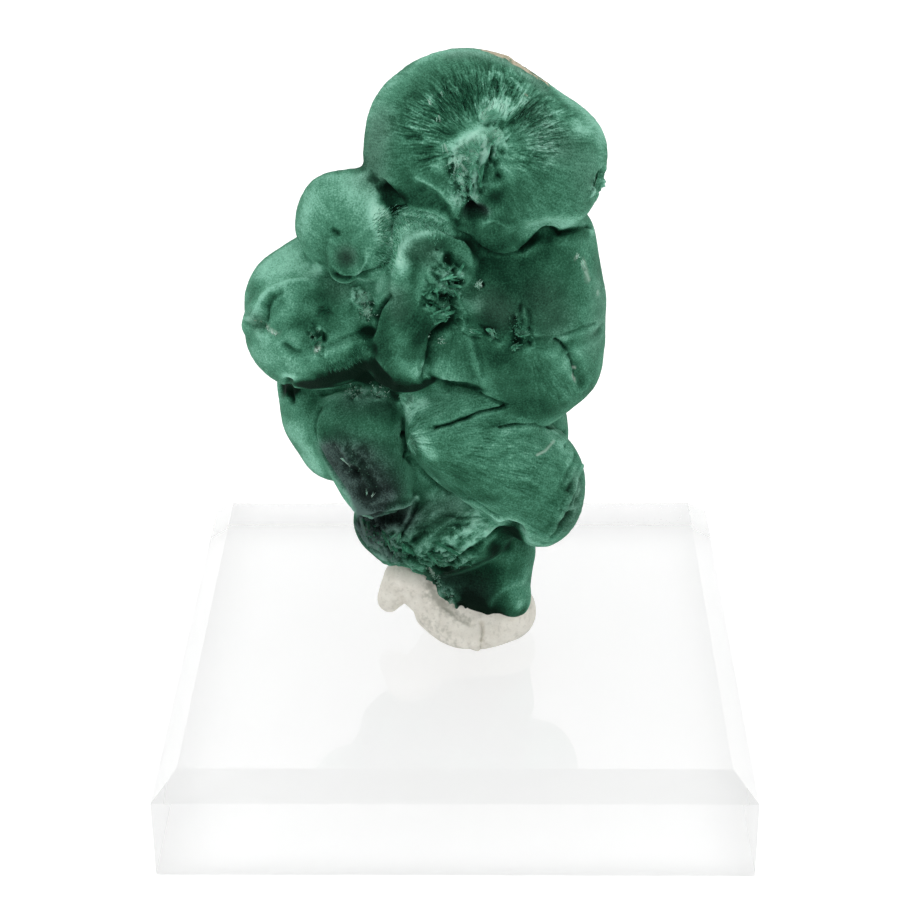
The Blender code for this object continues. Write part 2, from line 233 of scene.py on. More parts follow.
# Relief on the lobes. Each stroke raises the stone by its height, or sinks it where that is negative, out
# to its reach on both sides of a path of points near the surface. A path of one point is a boss or a pit.
# An entry can hold more than one path.
RELIEF = [
    # The crown folds in to a rough navel. A gully runs down from it to a hole, with a torn rim beside it.
    (-1.0, 4.4, [(2.6, -7.6, 58.4)]),
    (-0.6, 2.0, [(2.2, -7.8, 57.6), (1.8, -8.0, 55.4), (1.8, -7.8, 53.4)]),
    (-1.1, 1.3, [(1.8, -7.8, 53.4)]),
    (0.7, 1.1, [(0.2, -7.4, 59.0), (2.4, -7.4, 59.3), (2.0, -8.0, 57.6), (1.2, -8.0, 56.4)]),
    (0.5, 1.2, [(-2.6, -7.4, 56.1), (-0.9, -7.9, 55.0), (0.0, -7.9, 53.9), (0.8, -7.2, 51.7)]),
    (-0.5, 1.3, [(12.4, -2.3, 53.9)]),
    (-0.6, 1.6, [(8.2, -6.2, 50.2), (6.4, -6.6, 50.4)]),
    # The left lobe: a lip curling over a groove, a dished middle, and a tongue below it.
    (0.7, 1.3, [(-17.8, -3.0, 41.0), (-16.5, -4.8, 43.8), (-15.2, -5.1, 45.2), (-12.0, -5.3, 46.0)]),
    (-0.6, 1.1, [(-16.2, -5.4, 42.2), (-15.6, -5.4, 43.6), (-14.6, -5.6, 44.5)]),
    (-0.8, 3.0, [(-11.0, -6.6, 43.7)]),
    (-0.6, 1.2, [(-13.6, -6.8, 40.9), (-11.2, -6.9, 41.4), (-9.1, -6.9, 42.2), (-7.4, -6.7, 42.6)]),
    (0.6, 1.7, [(-12.9, -6.9, 39.6), (-11.2, -6.9, 39.8), (-9.1, -6.9, 40.2), (-7.5, -6.6, 40.8)]),
    # The middle lobe: a collar arched over a dome, a pit of broken crystal, and a channel down to the fans.
    (0.6, 1.2,
        [(-4.4, -7.6, 46.8), (-4.1, -7.5, 48.7), (-3.0, -6.9, 50.3), (-0.6, -6.6, 50.8), (1.6, -6.6, 48.4)]),
    (-0.5, 1.0, [(-3.3, -7.8, 47.4), (-2.7, -7.6, 49.0), (-1.3, -7.4, 49.6), (0.2, -7.6, 49.2)]),
    (0.5, 2.2, [(-1.9, -8.6, 47.4)]),
    (-1.1, 1.2, [(0.4, -7.9, 48.4)]),
    (-1.3, 2.2, [(0.3, -8.6, 45.6)]),
    (-1.0, 1.1, [(1.4, -7.6, 46.3), (0.6, -8.2, 44.6), (-0.4, -8.5, 43.4), (-1.3, -8.6, 42.4)]),
    (-0.7, 0.9, [(-1.3, -8.6, 42.4), (-2.1, -8.6, 40.0), (-2.3, -8.4, 38.6)]),
    (0.4, 2.6, [(-3.9, -8.3, 42.8)]),
    # The flank: a torn rosette, and two cracks round the fibrous fan below it.
    (-0.6, 1.2, [(5.9, -7.8, 41.9)]),
    (-0.5, 0.9, [(5.9, -7.8, 41.9), (8.6, -7.4, 41.4), (12.3, -4.4, 41.2)]),
    (-0.6, 0.9, [(8.6, -7.4, 41.4), (9.5, -6.9, 40.4), (10.2, -6.3, 38.7), (11.0, -5.4, 36.6)]),
    (0.4, 1.2, [(2.4, -8.0, 39.6), (2.6, -7.7, 37.2), (4.0, -6.2, 34.9)]),
    # The right foot: a crack down from the flank, and a swollen edge along its left end.
    (-0.3, 0.8, [(-1.8, -7.2, 33.3), (1.1, -7.0, 33.7), (4.2, -6.6, 34.7)]),
    (0.4, 1.4, [(-4.0, -5.4, 35.0), (-3.9, -6.0, 31.4)]),
    (-0.5, 1.4, [(10.6, -4.2, 26.8), (9.8, -5.6, 23.6)]),
    # The bottom: two seams, a cave beside the foot and a hole behind the left lobe.
    (0.5, 0.9, [(-8.6, -5.6, 24.7), (-5.2, -5.8, 24.4), (-3.4, -4.9, 24.9)]),
    (0.4, 0.8, [(-2.3, -4.8, 25.0), (-3.9, -5.4, 22.4), (-4.9, -5.5, 21.5)]),
    (-1.0, 1.6, [(5.2, -5.6, 22.0), (3.8, -5.3, 20.8)]),
    (-0.9, 1.5, [(-14.4, -0.4, 34.3)]),
    # The back: a scar where the cluster was broken from its bed, stepped by ledges, and two clefts.
    (-1.3, 5.2, [(-1.4, 9.4, 43.6), (1.6, 9.4, 38.6)]),
    (0.6, 1.3, [(-5.6, 9.2, 43.8), (-2.0, 9.4, 40.4), (-1.4, 9.0, 36.6)]),
    (0.6, 1.2, [(1.4, 9.2, 46.0), (2.8, 9.2, 42.0), (6.0, 9.2, 40.6)]),
    (-0.8, 1.2, [(-9.8, 8.0, 41.4), (-6.6, 9.0, 44.0), (-3.4, 8.8, 45.0)],
        [(-0.6, 8.0, 32.6), (2.4, 7.8, 29.0), (3.6, 6.8, 25.6)]),
]

# Broken, lumpy ground: the middle of each patch, its reach, the height of its lumps and their breadth.
ROUGH_PATCHES = [
    ((2.0, -7.8, 56.4), 3.4, 0.5, 1.1),
    ((0.4, -8.2, 45.8), 2.4, 0.6, 1.0),
    ((-3.4, -3.2, 18.8), 4.6, 0.6, 1.3),
    ((-7.4, -4.6, 26.0), 3.0, 0.4, 1.5),
    ((5.6, 0.8, 63.4), 3.6, 0.2, 1.4),
    ((-0.6, 9.0, 41.4), 6.8, 0.9, 1.8),
    ((1.0, 6.0, 24.0), 5.0, 0.6, 1.6),
]

# The putty: a bowl pressed round the foot, and a knob squeezed out below the specimen's left side.
PUTTY_LUMPS = {
    "bowl": [
        ((-1.2, -1.4, 11.9), (2.8, 2.8, 2.3)),
        ((1.6, -2.0, 10.8), (4.4, 3.8, 1.7)),
        ((4.8, -1.2, 11.5), (2.4, 3.0, 2.5)),
        ((2.0, 2.0, 11.2), (4.6, 3.4, 2.6)),
    ],
    "knob": [
        ((-4.5, -1.2, 15.3), (2.0, 2.0, 1.9)),
        ((-2.4, -1.0, 13.4), (2.3, 2.5, 2.4)),
    ],
    "flap": [
        ((-6.2, -1.4, 13.1), (1.1, 1.2, 1.3)),
        ((-5.3, -1.2, 15.1), (1.5, 1.6, 1.5)),
        ((-5.6, -1.2, 13.3), (1.0, 1.2, 1.1)),
    ],
}


# ---------------------------------------------------------------------------------------------------------
# Fine relief, pinned to the surface. A profile is "soft" (a rounded swell or dent), "sharp" (a ridge with an
# edge, or a V groove) or "cliff" (the left of the path, seen from outside, is raised and ends at the path).
# Each entry: profile, height, reach, and one path or more.
FINE_RELIEF = [
    # Crown: crevices round it.
    ("sharp", -0.4, 0.5, [(370, 175), (380, 184)]),
    ("sharp", -0.8, 0.8, [(384, 186), (393, 195), (402, 207)]),
    ("sharp", -0.3, 0.25,
        [(395, 208), (416, 211), (434, 216), (462, 231), (480, 247), (502, 255), (522, 250)]),
    ("sharp", -0.6, 0.35,
        [(522, 250), (535, 240), (546, 231), (553, 231), (559, 234), (571, 231), (590, 227)]),
    ("cliff", 0.25, 1.2,
        [(590, 227), (571, 231), (559, 234), (553, 231), (546, 231), (535, 240), (522, 250)]),
    # Crown: the crest over the navel, its slit, and the shards left of it.
    ("soft", 0.45, 1.8, [(478, 140), (464, 150)]),
    ("sharp", 0.4, 0.7, [(498, 135), (488, 142), (474, 151), (460, 159)]),
    ("soft", 0.35, 1.4, [(486, 158), (476, 172), (470, 186)]),
    ("sharp", 0.3, 0.5, [(497, 136), (489, 146), (485, 160)]),
    ("sharp", -0.6, 0.28, [(493, 145), (493, 153), (492, 162)]),
    ("sharp", 0.25, 0.35, [(497, 143), (503, 141), (508, 147), (507, 155)],
        [(484, 222), (494, 219), (508, 226)]),
    ("soft", 0.3, 1.2, [(498, 108)]),
    ("sharp", 0.5, 0.5, [(484, 116), (491, 112)]),
    ("soft", -0.35, 0.5, [(488, 124)]),
    ("sharp", 0.1, 0.5, [(505, 117), (515, 107), (526, 97)]),
    ("sharp", -0.1, 0.5, [(512, 122), (524, 110), (534, 100)]),
    ("sharp", -0.7, 0.35, [(465, 178), (467, 184), (469, 189)]),
    ("sharp", 0.35, 0.5, [(458, 161), (461, 174), (463, 186)]),
    ("sharp", 0.3, 0.35, [(474, 170), (476, 183), (473, 196)], [(474, 200), (477, 208), (480, 212)]),
    ("sharp", -0.4, 0.4, [(452, 172), (456, 181), (460, 192)]),
    ("soft", -0.5, 0.8, [(468, 214), (480, 215)]),
    ("sharp", 0.3, 0.4, [(458, 200), (458, 208), (464, 219)]),
    ("sharp", 0.12, 0.25, [(418, 177), (432, 184), (444, 192), (453, 204), (458, 216)]),
    ("soft", -0.2, 0.7, [(424, 187), (436, 194), (446, 206), (455, 222)]),
    ("sharp", -0.3, 0.2, [(499, 177), (501, 178)]),
    # Ear: a pock above the smooth nipple, and the crease under the ear.
    ("sharp", -0.4, 0.35, [(334, 231), (338, 233)]),
    ("sharp", 0.2, 0.3, [(331, 240), (337, 245)]),
    ("sharp", -0.2, 0.25, [(291, 232), (304, 249), (322, 267), (336, 275)]),
    ("sharp", -0.35, 0.3,
        [(336, 275), (350, 278), (364, 273), (380, 268), (390, 258), (393, 243), (392, 225)],
        [(392, 225), (396, 208)]),
    # Left lobe: the curled lip, stars of broken crystal, pocks, and the tongue.
    ("sharp", 0.2, 0.35,
        [(243, 320), (253, 318), (259, 311), (265, 298), (276, 289), (291, 282), (308, 281)]),
    ("sharp", -0.35, 0.4, [(264, 320), (266, 306), (273, 296), (282, 292)],
        [(313, 330), (318, 338), (316, 347)]),
    ("sharp", -0.2, 0.3, [(244, 321), (254, 326), (263, 327)]),
    ("soft", -0.25, 0.9, [(323, 312)]),
    ("sharp", -0.3, 0.35, [(284, 345), (291, 351), (300, 352)]),
    ("sharp", -0.3, 0.4, [(318, 350), (332, 345), (348, 338), (362, 334)]),
    ("soft", -0.4, 0.8, [(369, 334)]),
    ("sharp", -0.5, 0.35, [(374, 317), (379, 309), (385, 300)]),
    # Middle: the collar, the dark pocket, blades and holes, and the channel between dome and fans.
    ("sharp", 0.25, 0.7,
        [(402, 262), (405, 247), (412, 239), (424, 234), (437, 232), (449, 235), (458, 242)]),
    ("sharp", 0.25, 0.6, [(458, 242), (464, 250), (467, 262)]),
    ("soft", -0.6, 0.8, [(450, 259)]),
    ("sharp", -0.5, 0.28, [(456, 271), (455, 279), (459, 287)]),
    ("sharp", 0.3, 0.25, [(441, 277), (449, 271), (458, 265)]),
    ("soft", 0.4, 0.55, [(460, 273)]),
    ("soft", 0.4, 0.6, [(443, 283)]),
    ("sharp", 0.3, 0.3, [(450, 287), (458, 292), (465, 296)]),
    ("soft", -0.6, 0.5, [(461, 284)]),
    ("soft", -0.8, 0.55, [(460, 303)]),
    ("sharp", -0.35, 0.3, [(434, 293), (446, 297), (455, 300)]),
    ("sharp", -0.2, 0.3, [(422, 297), (430, 303), (434, 312)]),
    ("sharp", -0.9, 0.4, [(453, 321), (446, 328), (438, 335), (432, 345)]),
    ("sharp", -0.5, 0.3, [(432, 345), (430, 356), (428, 368), (424, 375)]),
    ("sharp", 0.2, 0.3, [(464, 300), (465, 318), (463, 329)]),
    ("sharp", -0.2, 0.2, [(463, 333), (471, 337), (480, 339)]),
    ("soft", 0.12, 0.5, [(468, 336), (472, 350), (478, 372)]),
    ("soft", -0.12, 0.4, [(475, 338), (478, 352), (482, 372)]),
    ("soft", -0.4, 0.9, [(372, 348), (371, 360), (384, 378)]),
    ("soft", -0.3, 0.7, [(382, 186), (392, 200)]),
    ("cliff", 0.25, 1.6, [(481, 389), (467, 388), (446, 383), (426, 374)]),
    ("sharp", -0.3, 0.3, [(482, 391), (497, 401), (506, 404)]),
    ("sharp", -0.4, 0.4, [(390, 296), (381, 304), (377, 316), (374, 330)]),
    # Flank: the torn rosette and the two cracks.
    ("sharp", -0.3, 0.3, [(521, 305), (520, 315), (523, 325)]),
    ("sharp", -0.2, 0.25, [(527, 309), (531, 317), (531, 326)]),
    ("sharp", 0.25, 0.3, [(524, 309), (526, 319), (524, 327)]),
    ("soft", 0.15, 0.8, [(523, 335)]),
    ("sharp", -0.4, 0.3, [(513, 331), (513, 341), (516, 346)]),
    ("sharp", 0.3, 0.25, [(511, 348), (518, 346), (529, 342)]),
    ("sharp", -0.25, 0.3, [(486, 331), (490, 334), (495, 338)]),
    ("sharp", -0.2, 0.2, [(531, 340), (545, 338), (557, 337), (571, 332), (584, 327), (596, 323)]),
    ("cliff", 0.12, 1.2, [(557, 341), (545, 342), (531, 344), (516, 348)]),
    ("sharp", -0.6, 0.25, [(556, 341), (563, 346), (569, 352)]),
    ("soft", -0.4, 0.35, [(571, 357)]),
    ("sharp", -0.3, 0.2, [(571, 357), (574, 364), (576, 371), (575, 380)]),
    # Right foot: two cracks, its pinched left end, and the broken facets at its right.
    ("sharp", -0.8, 0.22,
        [(434, 428), (450, 424), (459, 420), (468, 418), (480, 413), (492, 410), (504, 406)]),
    ("cliff", 0.15, 1.6,
        [(504, 406), (492, 410), (480, 413), (468, 418), (459, 420), (450, 424), (434, 428)]),
    ("sharp", -0.5, 0.18, [(499, 427), (515, 425), (534, 425), (550, 428), (565, 433), (578, 437)]),
    ("cliff", 0.12, 1.5, [(578, 437), (565, 433), (550, 428), (534, 425), (515, 425), (499, 427)]),
    ("sharp", -0.25, 0.4, [(402, 388), (402, 405), (403, 425), (405, 440), (407, 457)]),
    ("soft", -0.6, 0.4, [(402, 434)], [(405, 455)]),
    ("sharp", -0.4, 0.35, [(409, 459), (425, 476), (448, 494), (472, 500), (497, 517)]),
    ("sharp", 0.1, 0.15, [(537, 455), (545, 451), (554, 441)]),
    ("sharp", -0.3, 0.5, [(563, 485), (570, 470), (576, 455)]),
    ("sharp", 0.3, 0.5, [(567, 500), (575, 484), (581, 466)]),
    ("sharp", -0.3, 0.4, [(552, 538), (563, 525), (574, 513)]),
    # Left of the bottom: glinting knots, folds in the dark velvet, and the pale edge under it.
    ("sharp", -0.6, 0.5, [(289, 380), (290, 391), (292, 400)]),
    ("sharp", -0.3, 0.4, [(322, 394), (338, 389), (354, 386), (378, 385), (400, 387)],
        [(320, 408), (314, 430), (325, 460), (347, 492), (358, 506)]),
    ("sharp", 0.3, 0.3, [(344, 448), (348, 462), (356, 464), (361, 458)],
        [(369, 484), (371, 492), (367, 500)], [(413, 501), (408, 515), (400, 530), (392, 540)]),
    ("soft", -0.3, 0.9, [(356, 472)], [(425, 528), (448, 515), (470, 508)]),
    ("sharp", 0.4, 0.35, [(361, 508), (380, 508), (397, 505), (417, 497)]),
    ("soft", -0.6, 1.2, [(375, 522), (398, 516)]),
    ("sharp", -0.35, 0.3, [(418, 502), (412, 517), (404, 532), (397, 541)]),
    ("sharp", -0.2, 0.4, [(440, 492), (425, 503), (414, 512)]),
    ("soft", 0.15, 0.9, [(420, 548), (445, 540), (470, 532), (500, 520)]),
    # The cave beside the foot, and the ragged lower edge.
    ("soft", -1.2, 1.4, [(512, 528)]),
    ("sharp", -0.6, 0.5, [(500, 531), (485, 541), (468, 553), (452, 563)]),
    ("sharp", -0.5, 0.45, [(392, 553), (410, 560), (428, 566), (447, 569)]),
    ("sharp", 0.2, 0.5, [(486, 617), (492, 600), (505, 588), (524, 581)]),
]

# Shattered ground, of flat facets: the path that they are stretched along, its reach, and the facets' height
# and breadth.
SHATTERED = [
    ([(500, 132), (458, 160)], 1.6, 0.18, 0.35),
    ([(458, 158), (466, 196)], 1.4, 0.3, 0.45),
    ([(470, 190), (462, 210)], 1.4, 0.3, 0.45),
    ([(488, 148), (484, 176)], 1.3, 0.3, 0.8),
    ([(440, 262), (462, 280)], 1.6, 0.5, 0.8),
    ([(438, 278), (456, 292)], 1.5, 0.55, 0.7),
    ([(430, 300), (458, 318)], 1.4, 0.4, 0.5),
    ([(360, 294), (368, 314)], 1.2, 0.3, 0.45),
    ([(314, 332), (320, 348)], 1.0, 0.35, 0.45),
    ([(519, 322), (526, 342)], 1.2, 0.35, 0.5),
    ([(480, 330), (496, 340)], 0.7, 0.25, 0.4),
    ([(350, 446), (360, 476)], 2.2, 0.10, 0.7),
    ([(362, 516), (384, 548)], 2.6, 0.30, 0.5),
    ([(386, 546), (430, 566)], 2.2, 0.30, 0.35),
    ([(430, 556), (462, 560)], 1.8, 0.28, 0.35),
    ([(404, 534), (470, 528)], 2.4, 0.12, 0.5),
    ([(430, 572), (460, 606)], 1.0, 0.35, 0.5),
    ([(600, 176), (602, 192)], 1.2, 0.3, 0.5),
    ([(560, 520), (576, 490)], 1.6, 0.25, 1.2),
    ([(-3.0, 9.0, 45.4), (3.0, 9.0, 36.6)], 5.0, 0.2, 0.8),
    ([(1.0, 6.4, 28.0), (-0.6, 5.6, 19.0)], 3.4, 0.12, 0.6),
]

# Broken ground: place, reach, height, breadth.
FINE_GROUND = [
    ((474, 158), 3.0, 0.22, 0.9),
    ((466, 194), 2.2, 0.5, 0.7),
    ((492, 160), 2.0, 0.3, 0.7),
    ((601, 184), 1.8, 0.5, 0.6),
    ((519, 60), 2.6, 0.35, 0.8),
    ((363, 303), 1.5, 0.45, 0.45),
    ((318, 340), 1.1, 0.5, 0.45),
    ((449, 284), 2.0, 0.4, 0.6),
    ((440, 268), 1.4, 0.3, 0.5),
    ((480, 284), 0.8, 0.3, 0.3),
    ((352, 460), 2.6, 0.2, 0.9),
    ((353, 393), 1.4, 0.3, 0.4),
    ((380, 393), 1.2, 0.3, 0.4),
    ((384, 520), 3.0, 0.4, 0.9),
    ((420, 550), 4.4, 0.35, 0.8),
    ((470, 535), 2.6, 0.35, 0.4),
    ((570, 505), 3.0, 0.35, 0.9),
    ((430, 580), 1.6, 0.5, 0.5),
    ((455, 603), 1.4, 0.5, 0.5),
]

# Where the fibres of each lobe radiate from, and how strongly they comb its surface.
GROWTH = {
    "crown": ((484, 148), 1.0),
    "crown_skirt": ((478, 205), 0.7),
    "ear": ((345, 243), 0.8),
    "nipple": ((348, 255), 0.0),
    "left": ((323, 312), 0.6),
    "middle": ((438, 285), 0.8),
    "flank": ((522, 326), 0.5),
    "fan": ((455, 328), 0.8),
    "right_foot": ((408, 436), 1.0),
    "right_foot_top": ((404, 412), 1.0),
    "left_back": ((300, 375), 0.5),
    "left_front": ((368, 380), 0.4),
    "bottom": ((385, 580), 0.9),
    "foot": ((484, 622), 0.6),
    "foot_knob": ((484, 622), 0.8),
    "core": ((0.0, 8.0, 44.0), 0.5),
    "back_crown": ((2.4, 8.8, 56.2), 1.0),
    "back_shoulder": ((-3.0, 8.4, 49.4), 0.8),
    "back_left": ((-9.4, 7.8, 43.4), 0.9),
    "back_middle": ((0.4, 9.2, 41.6), 0.6),
    "back_right": ((6.8, 8.4, 44.2), 0.9),
    "back_low_left": ((-6.0, 7.8, 31.6), 0.9),
    "back_low_right": ((5.0, 7.4, 31.0), 0.9),
    "back_foot": ((0.0, 5.8, 21.6), 0.7),
}
BACK_LUMP_COMB = 0.7

